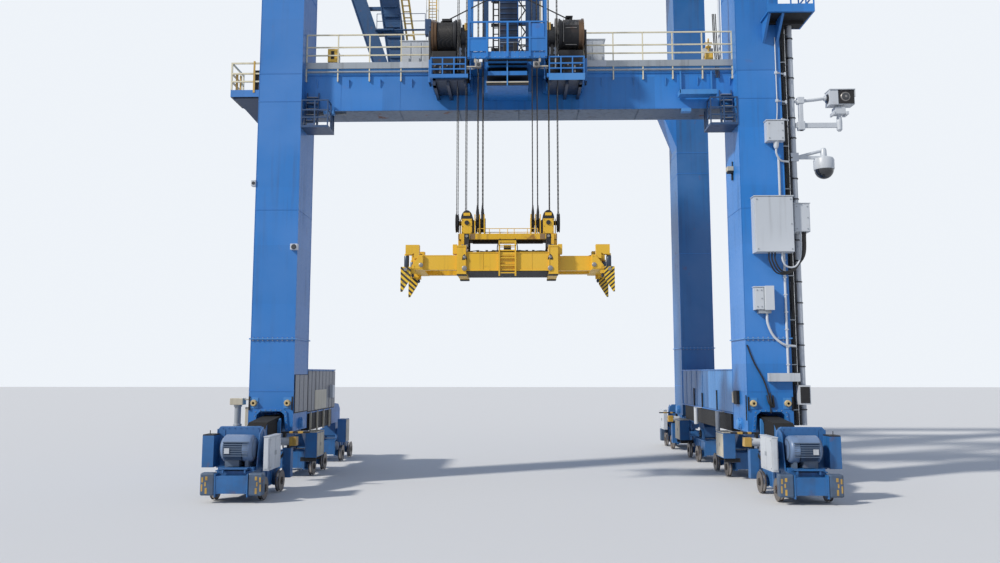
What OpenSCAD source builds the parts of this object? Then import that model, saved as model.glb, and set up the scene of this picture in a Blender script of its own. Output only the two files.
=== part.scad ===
// Rail mounted gantry crane: two front legs and one rear leg on rail bogies, a portal girder
// with a walkway, a hoist platform with two rope drums, and a telescopic spreader on ropes.
// X runs across the rails, Y along them with the front at -Y, and Z up from the rail's level.

/* [Portal] */
// Distance between the centre lines of the two tracks
gauge = 20000; // [19000:100:21000]
// Distance between the front and the rear legs, centre to centre
leg_pitch = 13100; // [12800:50:13400]
// Width of a leg across the track
leg_w = 1800; // [1700:20:1900]
// Depth of a leg along the track
leg_d = 2200; // [2000:20:2300]
// Height of the underside of the legs' feet
foot_z = 2150; // [2120:5:2180]
// Height of the legs' tops
leg_top_z = 28000; // [27600:50:28600]

/* [Legs' feet] */
// Width of the arch through a foot, at its bottom
arch_w = 1260; // [1160:10:1300]
// Height of the arch above the foot's underside
arch_h = 800; // [760:10:850]
// Slope of the arch's sides, as a step inwards at the top
arch_step = 90; // [60:5:140]
// Cut corner at the arch's top
arch_corner = 130; // [80:5:160]
// Width of the raised frame around the arch
arch_rim = 110; // [80:5:130]
// Depth of that frame in front of the leg
arch_rim_d = 45; // [30:5:60]

/* [Sill beams] */
// Height of the sill beams' underside
sill_z = 2750; // [2720:10:2800]
// Height of the sill beams
sill_h = 1900; // [1700:20:2000]
// Inset of a sill beam's side faces from the leg's
sill_inset = 30; // [10:5:60]
// Length of the left sill beam behind its leg
left_sill_l = 5350; // [5200:50:5500]
// Overhang of the low nose past the middle of the left rear bogie that it carries
nose_overhang = 700; // [600:20:800]
// Height of that nose
nose_h = 850; // [800:10:900]

/* [Portal girder] */
// Height of the portal girder's underside
girder_z = 15600; // [15400:50:15800]
// Height of the portal girder
girder_h = 1600; // [1500:20:1700]
// Depth of the portal girder along the track
girder_d = 1500; // [1400:20:1600]
// Thickness and overhang of the girder's flanges
girder_flange = 40; // [25:5:60]
// Height of the rear girder's underside
rear_girder_z = 19500; // [19400:50:19600]
// Height of the rear girder
rear_girder_h = 1100; // [1000:50:1250]
// Reach of the haunch under the rear girder
haunch_w = 830; // [700:10:950]
// Depth of that haunch below the girder
haunch_h = 2150; // [1950:50:2350]

/* [Top frame] */
// Overall length of the two top girders
top_girder_l = 28400; // [28200:100:29000]
// Height of the top girders
top_girder_h = 1800; // [1600:50:2000]
// Depth of a top girder along the track
top_girder_d = 1700; // [1500:50:1900]
// Width of the side beams between the top girders
side_beam_w = 1200; // [1000:50:1400]
// Height of the side beams
side_beam_h = 1400; // [1200:50:1600]

/* [Leaning braces] */
// Width of the outer brace
brace_w = 860; // [760:20:960]
// Width of the inner, ribbed brace
ribbed_brace_w = 1080; // [960:20:1160]
// Depth of both braces along the track
brace_d = 800; // [700:20:900]
// Spacing of the ribs up the inner brace
rib_pitch = 620; // [500:20:800]

/* [Walkway] */
// Height of the walkway's deck above the portal girder
deck_gap = 250; // [200:10:300]
// Thickness of the deck with its edge
deck_t = 190; // [150:10:220]
// Width of the deck
deck_w = 800; // [740:10:820]
// Height of the handrail above the deck
rail_h = 1330; // [1100:10:1400]
// Thickness of the rails and posts
rail_t = 50; // [40:2:60]
// Spacing of the handrail posts
post_pitch = 1350; // [1200:50:1500]

/* [Hoist] */
// Offset of the hoist's centre from the portal's
hoist_x = -430; // [-600:10:-300]
// Distance of the ropes' plane in front of the portal girder
hoist_y_gap = 1500; // [1480:5:1520]
// Distance of the drums' axis behind the ropes' plane
drum_y_gap = 620; // [610:5:630]
// Height of the drums' axis above the platform's floor
drum_rise = 1100; // [1060:10:1140]
// Height of the platform's floor above the portal girder
platform_rise = 140; // [80:10:180]
// Width of the middle part of the hoist platform
platform_w = 3200; // [3100:10:3240]
// Height of the hoist platform's fascia
fascia_h = 280; // [200:10:320]
// Depth of the hoist platform in front of the girder
platform_d = 2110; // [2080:5:2160]
// Width of each side basket
basket_w = 1500; // [1450:10:1550]
// Drop of the baskets' floors below the platform's floor
basket_drop = 920; // [880:10:960]
// Radius of the drums over the wound rope
drum_r = 620; // [560:10:640]
// Radius of the drums' flanges
drum_flange_r = 720; // [680:10:740]
// Length of a drum over its flanges
drum_l = 1020; // [940:10:1060]
// Distance of each drum's middle from the hoist's centre
drum_offset = 2630; // [2600:10:2680]
// Radius of the drum shafts
shaft_r = 90; // [70:5:110]
// Width of the shaft pedestals
pedestal_w = 130; // [100:5:160]

/* [Ropes and sheaves] */
// Radius of all sheaves
sheave_r = 380; // [350:5:400]
// Thickness of a sheave
sheave_t = 110; // [90:5:130]
// Diameter of the ropes
rope_d = 36; // [28:1:44]
// Height of the head sheaves' axis
head_sheave_z = 27300; // [27200:20:27400]
// Height of the head block's sheave axis
block_sheave_z = 10440; // [10420:5:10460]
// Height of the head block's underside
block_z = 9720; // [9700:5:9740]
// Height of the head block's beam
block_h = 230; // [210:5:260]
// Half length of the head block's beam
block_half_l = 1930; // [1900:10:1960]
// Depth of the head block along the track
block_d = 900; // [800:20:1000]

/* [Spreader] */
// Half length of the spreader's main frame
main_half_l = 1950; // [1900:10:1990]
// Height of the main frame
main_h = 735; // [720:5:760]
// Height of the main frame's underside
main_z = 8390; // [8370:5:8420]
// Depth of the main frame along the track
main_d = 2120; // [2100:5:2140]
// Height of the telescopic beams
arm_h = 570; // [550:5:590]
// Width of a telescopic beam
arm_w = 260; // [240:5:270]
// Half length of the whole spreader as it hangs
spreader_half_l = 4100; // [4080:5:4140]
// Width of a corner flipper
flipper_w = 380; // [360:5:390]
// Length of a flipper below its pin
flipper_l = 860; // [820:10:900]
// Thickness of a flipper
flipper_t = 90; // [70:5:100]

/* [Bogies] */
// Distance of the two wheels of a bogie
wheelbase = 2100; // [2040:10:2140]
// Distance of a bogie's middle from the leg's
bogie_offset = 3550; // [3500:10:3600]
// Radius of a wheel over its flanges
wheel_r = 400; // [380:2:405]
// Radius of a wheel's tread
tread_r = 372; // [360:2:376]
// Width of a wheel
wheel_w = 150; // [130:5:160]
// Distance of a wheel's middle from the track's centre
wheel_x = 850; // [840:5:870]
// Radius of the wheel axles
axle_r = 70; // [60:2:80]
// Radius of the equaliser's pins
pin_r = 150; // [120:5:170]
// Reach of the buffers' faces past the outermost axles
buffer_reach = 900; // [880:5:930]
// Radius of a travel motor
motor_r = 480; // [450:5:490]
// Length of a travel motor
motor_l = 1150; // [1100:10:1180]

/* [Hidden] */

steel_blue = "steelblue";
spreader_yellow = "goldenrod";
dark_steel = "dimgray";
pale_grey = "gainsboro";

run_gap = 0.3;
slide_gap = 6;
leg_x = gauge / 2;
leg_y = leg_pitch / 2;
inner_x = leg_x - leg_w / 2;
leg_front_y = -leg_y - leg_d / 2;
leg_back_y = -leg_y + leg_d / 2;

girder_back_y = leg_back_y - girder_flange;
girder_front_y = girder_back_y - girder_d;
girder_top_z = girder_z + girder_h;
rear_face_y = leg_y - leg_d / 2;
rear_girder_top_z = rear_girder_z + rear_girder_h;

deck_z = girder_top_z + deck_gap;
deck_top_z = deck_z + deck_t;
deck_front_y = girder_front_y;
deck_back_y = deck_front_y + deck_w;

rope_y = girder_front_y - hoist_y_gap;
platform_top_z = girder_top_z + platform_rise;
platform_z = platform_top_z - fascia_h;
platform_front_y = girder_front_y - platform_d;
basket_top_z = platform_top_z - basket_drop;
basket_t = 150;
drum_axis_z = platform_top_z + drum_rise;
drum_y = rope_y + drum_y_gap;
mast_y = leg_front_y + 420;
mast_r = 110;
lower_beam_z = [platform_z - 1040, platform_z - 620];
pedestal_x = drum_offset - drum_l / 2 - 160;
sheave_offsets = [-2020, -1670, -1200, -1000, 1000, 1200, 1670, 2020];
block_shaft = [sheave_offsets[4] - 100, sheave_offsets[7] + 60];
groove_r = sheave_r - rope_d * 0.75;
groove_half = rope_d / 2 + 2;
outer_well = [1520, 2160];
inner_well = [800, 1280];
well_margin = 130;

tower_back_y = girder_back_y - 60;
brace_foot_x = [-7430, -6770];
brace_head_x = [-9950, -7850];
brace_y0 = rear_face_y + 100;
brace_ladder_gap = 720;
device_x = [-8200, 7950];
cabinet_spans = [[-5150, -3780], [2750, 3780]];
cabinet_h = 1800;
leg_platform_z = 19080;
leg_platform_return = 750;
camera_arm_z = 14660;
camera_post_x = 13400;
camera_z = 15580;
leg_cases = [[9500, 11050, 480, 9300, 11560], [11150, 11780, 250, 10150, 11300],
    [10150, 10880, 320, 13900, 14750], [9450, 10200, 280, 7000, 7900],
    [9930, 11150, 240, 4150, 4480], [11100, 11550, 200, 3240, 4000]];

foot_top_z = foot_z + arch_h;
equaliser_pin_z = 2420;
bogie_pin_z = 1320;
equaliser_w = 700;
side_frame_x = 600;
side_frame_t = 60;
frame_z = 300;
frame_top_z = 1080;
bearing_t = 100;
bearing_r = 170;

rope_slope = 27.6;
deflector_r = 250;
rope_bend_steps = 14;
drum_rope_x = drum_offset + 140;
deflector_x = 768;
deflector_z = drum_axis_z + drum_r + run_gap + (drum_rope_x - deflector_x) * tan(rope_slope)
    + (deflector_r + rope_d / 2) / cos(rope_slope) + rope_d * 0.6;

ends = [[-1, -1], [1, -1], [1, 1]];
outer_axle_y = leg_y + bogie_offset + wheelbase / 2;
buffer_y = outer_axle_y + buffer_reach;
motor_y = -outer_axle_y - 120;
motor_z = 1810;
gear_case_y = motor_y + motor_r + 30;
gear_case_t = 150;
gear_case_x = [-900, 1000];
gear_case_top_z = 2540;
gear_case_cut = 140;
inner_case_x = [-1150, -950];
inner_case_z = [1050, 2220];
outer_case_x = [900, 1300];
outer_case_z = [1150, 2250];

arm_channels = [[-main_d / 2 + 70, -main_d / 2 + 70 + arm_w],
    [-main_d / 2 + 110 + arm_w, -main_d / 2 + 110 + 2 * arm_w]];
arm_z = main_z + 55;
arm_inner_end = 1100;
end_beam_w = 420;
end_beam_x = spreader_half_l - 440;
end_beam_half_d = main_d / 2 + 40;
flipper_pin_z = arm_z - 5;
flipper_pin_x = spreader_half_l - flipper_w / 2;
gooseneck_x = end_beam_x - 250;
gooseneck_z = arm_z + arm_h + 20;
flipper_pin_r = 45;

axle_lines = [-outer_axle_y, -leg_y - bogie_offset + wheelbase / 2,
    -leg_y + bogie_offset - wheelbase / 2, -leg_y + bogie_offset + wheelbase / 2,
    leg_y - bogie_offset - wheelbase / 2, leg_y - bogie_offset + wheelbase / 2,
    leg_y + bogie_offset - wheelbase / 2, outer_axle_y];

// A plain block given by its lowest and highest corners.
module block(low, high) {
    translate(low)
        cube([high[0] - low[0], high[1] - low[1], high[2] - low[2]]);
}

// A round bar along X.
module bar_x(x0, x1, y, z, r) {
    translate([x0, y, z])
        rotate([0, 90, 0])
            cylinder(r = r, h = x1 - x0, $fn = 48);
}

// A round bar along Y.
module bar_y(x, y0, y1, z, r) {
    translate([x, y0, z])
        rotate([-90, 0, 0])
            cylinder(r = r, h = y1 - y0, $fn = 48);
}

// A round bar along Z.
module bar_z(x, y, z0, z1, r) {
    translate([x, y, z0])
        cylinder(r = r, h = z1 - z0, $fn = 48);
}

// A profile drawn in X and Z, carried along Y from y0 to y1.
module slab_xz(y0, y1) {
    translate([0, y1, 0])
        rotate([90, 0, 0])
            linear_extrude(height = y1 - y0)
                children();
}

// A profile drawn in Y and Z, carried along X from x0 to x1.
module slab_yz(x0, x1) {
    translate([x0, 0, 0])
        rotate([90, 0, 90])
            linear_extrude(height = x1 - x0)
                children();
}

// A straight square bar from one point to another in a plane of constant Y.
module strut_xz(from, to, w, y0, y1) {
    slab_xz(y0, y1)
        polygon([[from[0] - w / 2, from[1]], [from[0] + w / 2, from[1]],
            [to[0] + w / 2, to[1]], [to[0] - w / 2, to[1]]]);
}

// A handrail along X: posts with a top rail and two lower rails.
module rail_x(x0, x1, y, z, h, count) {
    for (k = [0:count])
        block([x0 + (x1 - x0 - rail_t) * k / count, y, z],
            [x0 + (x1 - x0 - rail_t) * k / count + rail_t, y + rail_t, z + h]);
    for (level = [0.33, 0.62, 1])
        block([x0, y, z + h * level - rail_t], [x1, y + rail_t, z + h * level]);
}

// A handrail along Y.
module rail_y(x, y0, y1, z, h, count) {
    for (k = [0:count])
        block([x, y0 + (y1 - y0 - rail_t) * k / count, z],
            [x + rail_t, y0 + (y1 - y0 - rail_t) * k / count + rail_t, z + h]);
    for (level = [0.33, 0.62, 1])
        block([x, y0, z + h * level - rail_t], [x + rail_t, y1, z + h * level]);
}

// The outline of the arch through a foot, grown by a margin on its sides and top.
module arch_outline(margin) {
    half = arch_w / 2 + margin;
    top = arch_h + margin;
    polygon([[-half, -10], [half, -10], [half - arch_step * (top - arch_corner) / top, top - arch_corner],
        [half - arch_step - arch_corner, top], [-half + arch_step + arch_corner, top],
        [-half + arch_step * (top - arch_corner) / top, top - arch_corner]]);
}

// A leg with its arched foot, with the equaliser's pin hole through both cheeks.
// The arch's frame stops under the sill beam on the side that carries it.
module leg(x, y, top_z, sill_side) {
    front = y - leg_d / 2;
    back = y + leg_d / 2;
    sill_face = y + sill_side * leg_d / 2;
    difference() {
        union() {
            block([x - leg_w / 2, front, foot_z], [x + leg_w / 2, back, top_z]);
            intersection() {
                translate([x, 0, foot_z])
                    slab_xz(front - arch_rim_d, back + arch_rim_d)
                        arch_outline(arch_rim);
                block([x - leg_w / 2, front - arch_rim_d, foot_z],
                    [x + leg_w / 2, back + arch_rim_d, top_z]);
            }
        }
        translate([x, 0, foot_z])
            slab_xz(front - 2 * arch_rim_d, back + 2 * arch_rim_d)
                arch_outline(0);
        bar_x(x - leg_w, x + leg_w, y, equaliser_pin_z, pin_r + run_gap);
        translate([0, sill_face, 0])
            mirror([0, sill_side > 0 ? 0 : 1, 0])
                block([x - leg_w, 0, sill_z], [x + leg_w, 2 * arch_rim_d, top_z]);
    }
}

module front_left_leg() {
    color(steel_blue)
        leg(-leg_x, -leg_y, leg_top_z, 1);
}

module front_right_leg() {
    color(steel_blue)
        leg(leg_x, -leg_y, leg_top_z, 1);
}

module rear_right_leg() {
    color(steel_blue)
        leg(leg_x, leg_y, leg_top_z, -1);
}

// The sill beam behind the single left leg, with the low nose over the rear bogie.
module left_sill_beam() {
    half = leg_w / 2 - sill_inset;
    end_y = leg_back_y + left_sill_l;
    nose_l = leg_y - bogie_offset + nose_overhang - end_y;
    color(steel_blue) {
        block([-leg_x - half, leg_back_y, sill_z], [-leg_x + half, end_y, sill_z + sill_h]);
        slab_yz(-leg_x - equaliser_w / 2, -leg_x + equaliser_w / 2)
            polygon([[end_y - 1400, sill_z], [end_y - 900, sill_z - nose_h + 100],
                [end_y, sill_z - nose_h], [end_y + nose_l, sill_z - nose_h],
                [end_y + nose_l, sill_z - 150], [end_y + nose_l - 400, sill_z + 100],
                [end_y, sill_z + 350], [end_y - 1400, sill_z + 350]]);
    }
}

module right_sill_beam() {
    half = leg_w / 2 - sill_inset;
    color(steel_blue)
        block([leg_x - half, leg_back_y, sill_z], [leg_x + half, rear_face_y, sill_z + sill_h]);
}

// A box girder's cross-section with flanges that stand out past its webs.
module girder_outline(y0, y1, z0, z1) {
    polygon([[y0 - girder_flange, z0], [y1 + girder_flange, z0],
        [y1 + girder_flange, z0 + girder_flange], [y1, z0 + girder_flange],
        [y1, z1 - girder_flange], [y1 + girder_flange, z1 - girder_flange],
        [y1 + girder_flange, z1], [y0 - girder_flange, z1],
        [y0 - girder_flange, z1 - girder_flange], [y0, z1 - girder_flange],
        [y0, z0 + girder_flange], [y0 - girder_flange, z0 + girder_flange]]);
}

module portal_girder() {
    color(steel_blue)
        slab_yz(-inner_x, inner_x)
            girder_outline(girder_front_y, girder_back_y, girder_z, girder_top_z);
}

module rear_girder() {
    color(steel_blue)
        slab_xz(rear_face_y, rear_face_y + girder_d)
            polygon([[-inner_x, rear_girder_z], [inner_x - haunch_w, rear_girder_z],
                [inner_x, rear_girder_z - haunch_h], [inner_x, rear_girder_top_z],
                [-inner_x, rear_girder_top_z]]);
}

// A top girder over a pair of legs, with its ends cut back below.
module top_girder(y) {
    z0 = leg_top_z;
    z1 = leg_top_z + top_girder_h;
    half = top_girder_l / 2;
    slab_xz(y - top_girder_d / 2, y + top_girder_d / 2)
        polygon([[-half + 1800, z0], [half - 1800, z0], [half, z0 + top_girder_h / 2], [half, z1],
            [-half, z1], [-half, z0 + top_girder_h / 2]]);
}

module front_top_girder() {
    color(steel_blue)
        top_girder(-leg_y);
}

module rear_top_girder() {
    color(steel_blue)
        top_girder(leg_y);
}

module top_side_beams() {
    z0 = leg_top_z + (top_girder_h - side_beam_h) / 2;
    y1 = leg_y - top_girder_d / 2;
    color(steel_blue)
        for (side = [-1, 1])
            block([side * leg_x - side_beam_w / 2, -y1, z0],
                [side * leg_x + side_beam_w / 2, y1, z0 + side_beam_h]);
}

// Two braces from the rear girder's left end up to the rear top girder, tied together.
function brace_x(k, z) = brace_foot_x[k] + (brace_head_x[k] - brace_foot_x[k])
    * (z - rear_girder_top_z) / (leg_top_z - rear_girder_top_z);

module leaning_braces() {
    widths = [brace_w, ribbed_brace_w];
    ribs = floor((leg_top_z - rear_girder_top_z - 800) / rib_pitch);
    ties = [for (share = [0.5, 0.716]) rear_girder_top_z + share * (leg_top_z - rear_girder_top_z)];
    tie_h = 180;
    color(steel_blue) {
        for (k = [0, 1])
            strut_xz([brace_foot_x[k], rear_girder_top_z], [brace_head_x[k], leg_top_z],
                widths[k], brace_y0, brace_y0 + brace_d);
        for (k = [1:ribs])
            let (z = rear_girder_top_z + 400 + k * rib_pitch)
            block([brace_x(1, z) - ribbed_brace_w / 2 + 130, brace_y0 - 90, z],
                [brace_x(1, z) + ribbed_brace_w / 2 - 130, brace_y0, z + 110]);
        for (z = ties)
            block([brace_x(0, z), brace_y0 + 100, z], [brace_x(1, z), brace_y0 + 300, z + tie_h]);
        block([brace_x(0, ties[0]) + 300, brace_y0 - 300, ties[0] + tie_h],
            [brace_x(1, ties[0]), brace_y0 + 500, ties[0] + tie_h + 80]);
    }
}

// The yellow inclined ladder and the caged ladder on the rear girder, beside the braces.
module brace_ladders() {
    ladder_y = brace_y0 + 150;
    foot = brace_foot_x[1] + brace_ladder_gap;
    head = brace_head_x[1] + brace_ladder_gap;
    rungs = 20;
    color(spreader_yellow)
        union() {
            for (side = [0, 1])
                strut_xz([foot + side * 420, rear_girder_top_z], [head + side * 420, leg_top_z],
                    110, ladder_y, ladder_y + 160);
            for (k = [1:rungs - 1])
                let (z = rear_girder_top_z + (leg_top_z - rear_girder_top_z) * k / rungs)
                block([brace_x(1, z) + brace_ladder_gap, ladder_y + 50, z],
                    [brace_x(1, z) + brace_ladder_gap + 420, ladder_y + 110, z + 50]);
        }
    color(pale_grey)
        union() {
            for (side = [0, 1])
                block([-5300 + side * 450, ladder_y, rear_girder_top_z],
                    [-5240 + side * 450, ladder_y + 60, leg_top_z]);
            for (k = [1:2 * rungs - 1])
                let (z = rear_girder_top_z + (leg_top_z - rear_girder_top_z) * k / (2 * rungs))
                block([-5300, ladder_y + 15, z], [-4790, ladder_y + 45, z + 30]);
        }
}

// Columns on the portal girder behind the walkway, and posts over the hoist platform.
module hoist_tower() {
    column_y0 = deck_back_y + 20;
    color(steel_blue) {
        for (x = [[-310, 450], [860, 1450]])
            block([hoist_x + x[0], column_y0, girder_top_z], [hoist_x + x[1], tower_back_y, leg_top_z]);
        block([hoist_x - 1080, column_y0 + 100, girder_top_z],
            [hoist_x - 900, column_y0 + 280, leg_top_z]);
        for (side = [-1, 1])
            for (y = [platform_front_y + 40, girder_front_y - 250])
                block([hoist_x + side * (platform_w / 2 - 60) - 60, y, platform_top_z],
                    [hoist_x + side * (platform_w / 2 - 60) + 60, y + 120, leg_top_z]);
        block([hoist_x - platform_w / 2 + 120, girder_front_y - 250, deflector_z - 60],
            [hoist_x + platform_w / 2 - 120, girder_front_y - 130, deflector_z + 60]);
        for (side = [-1, 1]) {
            block([hoist_x + side * deflector_x - 60, drum_y + 70, deflector_z - 60],
                [hoist_x + side * deflector_x + 60, girder_front_y - 130, deflector_z + 60]);
            bar_y(hoist_x + side * deflector_x, drum_y - 50, drum_y + 70, deflector_z, deflector_r);
        }
        for (k = [1:7])
            block([hoist_x + 450, column_y0 + 150, girder_top_z + k * 1300],
                [hoist_x + 860, column_y0 + 270, girder_top_z + k * 1300 + 120]);
    }
}

// The frame that reaches forward from the front top girder and carries the head sheaves.
module head_frame() {
    front = platform_front_y;
    back = -leg_y - top_girder_d / 2;
    z0 = leg_top_z;
    z1 = leg_top_z + 700;
    half = 2350;
    hanger_z = head_sheave_z - 250;
    color(steel_blue) {
        for (x = [-half, -1400, 600, 1400 - 200, half - 200])
            block([hoist_x + x, front, z0], [hoist_x + x + 200, back, z1]);
        block([hoist_x - half, front - 200, z0], [hoist_x + half, front, z1]);
        block([hoist_x - half, back - 200, z0], [hoist_x + half, back, z1]);
        difference() {
            for (x = [-2200, -1875, -1450, -760, 700, 1390, 1815, 2140])
                block([hoist_x + x, rope_y - 200, hanger_z], [hoist_x + x + 60, rope_y + 200, z0]);
            bar_x(hoist_x - 2500, hoist_x + 2500, rope_y, head_sheave_z, shaft_r + run_gap);
        }
        for (y = [rope_y - 200, rope_y + 100])
            block([hoist_x - half, y, z0], [hoist_x + half, y + 100, z0 + 200]);
    }
}

// A grooved sheave whose axis runs along X.
module sheave(x, z) {
    half = sheave_t / 2;
    translate([x, rope_y, z])
        rotate([0, 90, 0])
            rotate_extrude($fn = 64)
                polygon([[0, -half - 10], [shaft_r + 40, -half - 10], [shaft_r + 40, -half + 25],
                    [sheave_r - 110, -half + 25], [sheave_r - 90, -half], [sheave_r, -half],
                    [sheave_r, -half + 20], [groove_r, -groove_half], [groove_r, groove_half],
                    [sheave_r, half - 20], [sheave_r, half], [sheave_r - 90, half],
                    [sheave_r - 110, half - 25], [shaft_r + 40, half - 25],
                    [shaft_r + 40, half + 10], [0, half + 10]]);
}

module head_sheaves() {
    color(dark_steel) {
        bar_x(hoist_x - 2260, hoist_x + 2260, rope_y, head_sheave_z, shaft_r);
        for (x = sheave_offsets)
            sheave(hoist_x + x, head_sheave_z);
    }
}

module girder_walkway() {
    supports = 10;
    color(pale_grey) {
        block([-inner_x, deck_front_y, deck_z], [inner_x, deck_back_y, deck_z + deck_t]);
        for (k = [0:supports])
            let (x = -inner_x + 300 + (2 * inner_x - 800) * k / supports)
            block([x, deck_front_y + 60, girder_top_z], [x + 120, deck_back_y - 60, deck_z]);
    }
}

// The walkway's handrail, in two runs beside the hoist platform.
module walkway_rails() {
    y = deck_front_y - rail_t;
    z = girder_top_z - 320;
    h = deck_top_z + rail_h - z;
    left_end = hoist_x - drum_offset - drum_l / 2 - 60;
    right_start = hoist_x + drum_offset + drum_l / 2 + 60;
    left_count = round((left_end + inner_x) / post_pitch);
    right_count = round((inner_x - right_start) / post_pitch);
    color("wheat") {
        walkway_run(-inner_x, left_end, y - girder_flange, z, h, left_count);
        walkway_run(right_start, inner_x, y - girder_flange, z, h, right_count);
    }
}

// One run: posts that stand on brackets on the girder's face, three rails and a toe board.
module walkway_run(x0, x1, y, z, h, count) {
    for (k = [0:count])
        let (x = x0 + (x1 - x0 - rail_t) * k / count) {
            block([x, y, z], [x + rail_t, y + rail_t, z + h]);
            block([x, y, z], [x + rail_t, y + rail_t + girder_flange, z + 120]);
        }
    for (level = [0, 550, 910])
        block([x0, y, z + h - level - rail_t], [x1, y + rail_t, z + h - level]);
    block([x0, y + 10, deck_z], [x1, y + rail_t, deck_top_z + 60]);
}

module walkway_cabinets() {
    back = girder_back_y - 40;
    color(pale_grey) {
        for (x = cabinet_spans)
            block([x[0], deck_back_y + 20, girder_top_z], [x[1], back, girder_top_z + cabinet_h]);
    }
    color(spreader_yellow)
        for (x = device_x)
            block([x, deck_front_y + 250, deck_top_z], [x + 420, deck_front_y + 600, deck_top_z + 700]);
}

// The platform on the outside of the left leg, on a triangular bracket.
module left_leg_platform() {
    x0 = -leg_x - leg_w / 2 - 1300;
    x1 = -leg_x - leg_w / 2;
    y0 = leg_front_y + 250;
    y1 = y0 + 1500;
    z = 16120;
    color(steel_blue) {
        block([x0, y0, z], [x1, y1, z + 60]);
        block([x0, y0, z], [x1, y0 + 40, z + 300]);
        block([x0, y0, z], [x0 + 40, y1, z + 300]);
        for (y = [y0 + 60, y1 - 160])
            slab_xz(y, y + 100)
                polygon([[x0 + 150, z], [x1, z], [x1, z - 1250], [x1 - 160, z - 1100]]);
    }
    color("wheat") {
        rail_x(x0, x1, y0, z + 300, 1200, 1);
        rail_y(x0, y0, y1, z + 300, 1200, 1);
    }
}

// The platform round the right leg's outer front corner, over the cable mast's top.
module right_leg_platform() {
    x0 = leg_x + 150;
    x1 = leg_x + leg_w / 2 + 1150;
    y0 = leg_front_y - 1050;
    y1 = leg_front_y;
    y2 = y1 + leg_platform_return;
    z = leg_platform_z;
    color(steel_blue) {
        block([x0, y0, z], [x1, y1, z + 60]);
        block([leg_x + leg_w / 2, y0, z], [x1, y2, z + 60]);
        block([x0, y0, z], [x1, y0 + 40, z + 330]);
        block([x1 - 40, y0, z], [x1, y2, z + 330]);
        for (x = [x0 + 60, leg_x + leg_w / 2 - 140])
            slab_yz(x, x + 100)
                polygon([[y0 + 120, z], [y1, z], [y1, z - 900], [y1 - 160, z - 760]]);
    }
    color("wheat") {
        rail_x(x0, x1, y0, z + 330, 1200, 2);
        rail_y(x1 - rail_t, y0, y2, z + 330, 1200, 2);
    }
}

// Hanging stair platforms at the two ends of the portal girder.
module corner_platforms() {
    color(dark_steel)
        for (side = [-1, 1])
            mirror([side > 0 ? 1 : 0, 0, 0])
                corner_platform();
}

module corner_platform() {
    x0 = -inner_x;
    x1 = x0 + 1150;
    y0 = girder_front_y - girder_flange - 650;
    y1 = girder_front_y + 500;
    z = 14700;
    steps = 5;
    block([x0, y0, z], [x1, y1, z + 90]);
    rail_x(x0, x1, y0, z + 90, 1100, 2);
    rail_y(x1 - rail_t, y0, girder_front_y - girder_flange - 40, z + 90, 1100, 1);
    for (y = [girder_front_y + 100, y1 - 100])
        block([x1 - 80, y, z], [x1, y + 80, girder_z]);
    for (k = [0:steps])
        block([x0 + 120, girder_front_y - girder_flange - 330 + k * 25, z + 90 + 260 * k],
            [x0 + 560, girder_front_y - girder_flange - 130 + k * 25, z + 130 + 260 * k]);
    for (x = [x0 + 70, x0 + 560])
        slab_yz(x, x + 50)
            polygon([[girder_front_y - girder_flange - 350, z + 90],
                [girder_front_y - girder_flange - 130, z + 90],
                [girder_front_y - girder_flange, z + 1450],
                [girder_front_y - girder_flange, z + 1690]]);
}

// The hoist platform: a middle floor with a fascia, lower side baskets, and rope wells.
module hoist_platform() {
    half = platform_w / 2;
    basket_x = half + basket_w;
    back = girder_front_y - girder_flange;
    difference() {
        color(steel_blue)
            union() {
                block([hoist_x - half, platform_front_y, platform_z],
                    [hoist_x + half, back, platform_top_z]);
                for (z = lower_beam_z)
                    block([hoist_x - 1000, platform_front_y + 250, z],
                        [hoist_x + 1000, girder_front_y, z + 170]);
                for (x = [-1000, 850])
                    block([hoist_x + x, platform_front_y + 250, lower_beam_z[0]],
                        [hoist_x + x + 150, back, platform_z]);
                for (side = [-1, 1])
                    block([hoist_x + side * (half + basket_w / 2) - basket_w / 2 - 20,
                        platform_front_y, basket_top_z - basket_t],
                        [hoist_x + side * (half + basket_w / 2) + basket_w / 2 + 20, back,
                        basket_top_z]);
                for (side = [-1, 1])
                    for (y = [platform_front_y + 150, back - 250])
                        block([hoist_x + side * (half - 60) - 60, y, basket_top_z - basket_t],
                            [hoist_x + side * (half - 60) + 60, y + 120, platform_z]);
                for (side = [-1, 1])
                    for (x = [basket_x - 150, basket_x - 700])
                        block([hoist_x + side * x - 50, platform_front_y + 200, basket_top_z - 400],
                            [hoist_x + side * x + 50, girder_front_y, basket_top_z - basket_t]);
            }
        for (side = [-1, 1])
            for (well = [outer_well, inner_well])
                block([hoist_x + (side > 0 ? well[0] : -well[1]), rope_y - sheave_r - well_margin,
                    girder_z], [hoist_x + (side > 0 ? well[1] : -well[0]),
                    rope_y + sheave_r + well_margin, platform_top_z + 100]);
    }
}

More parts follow.
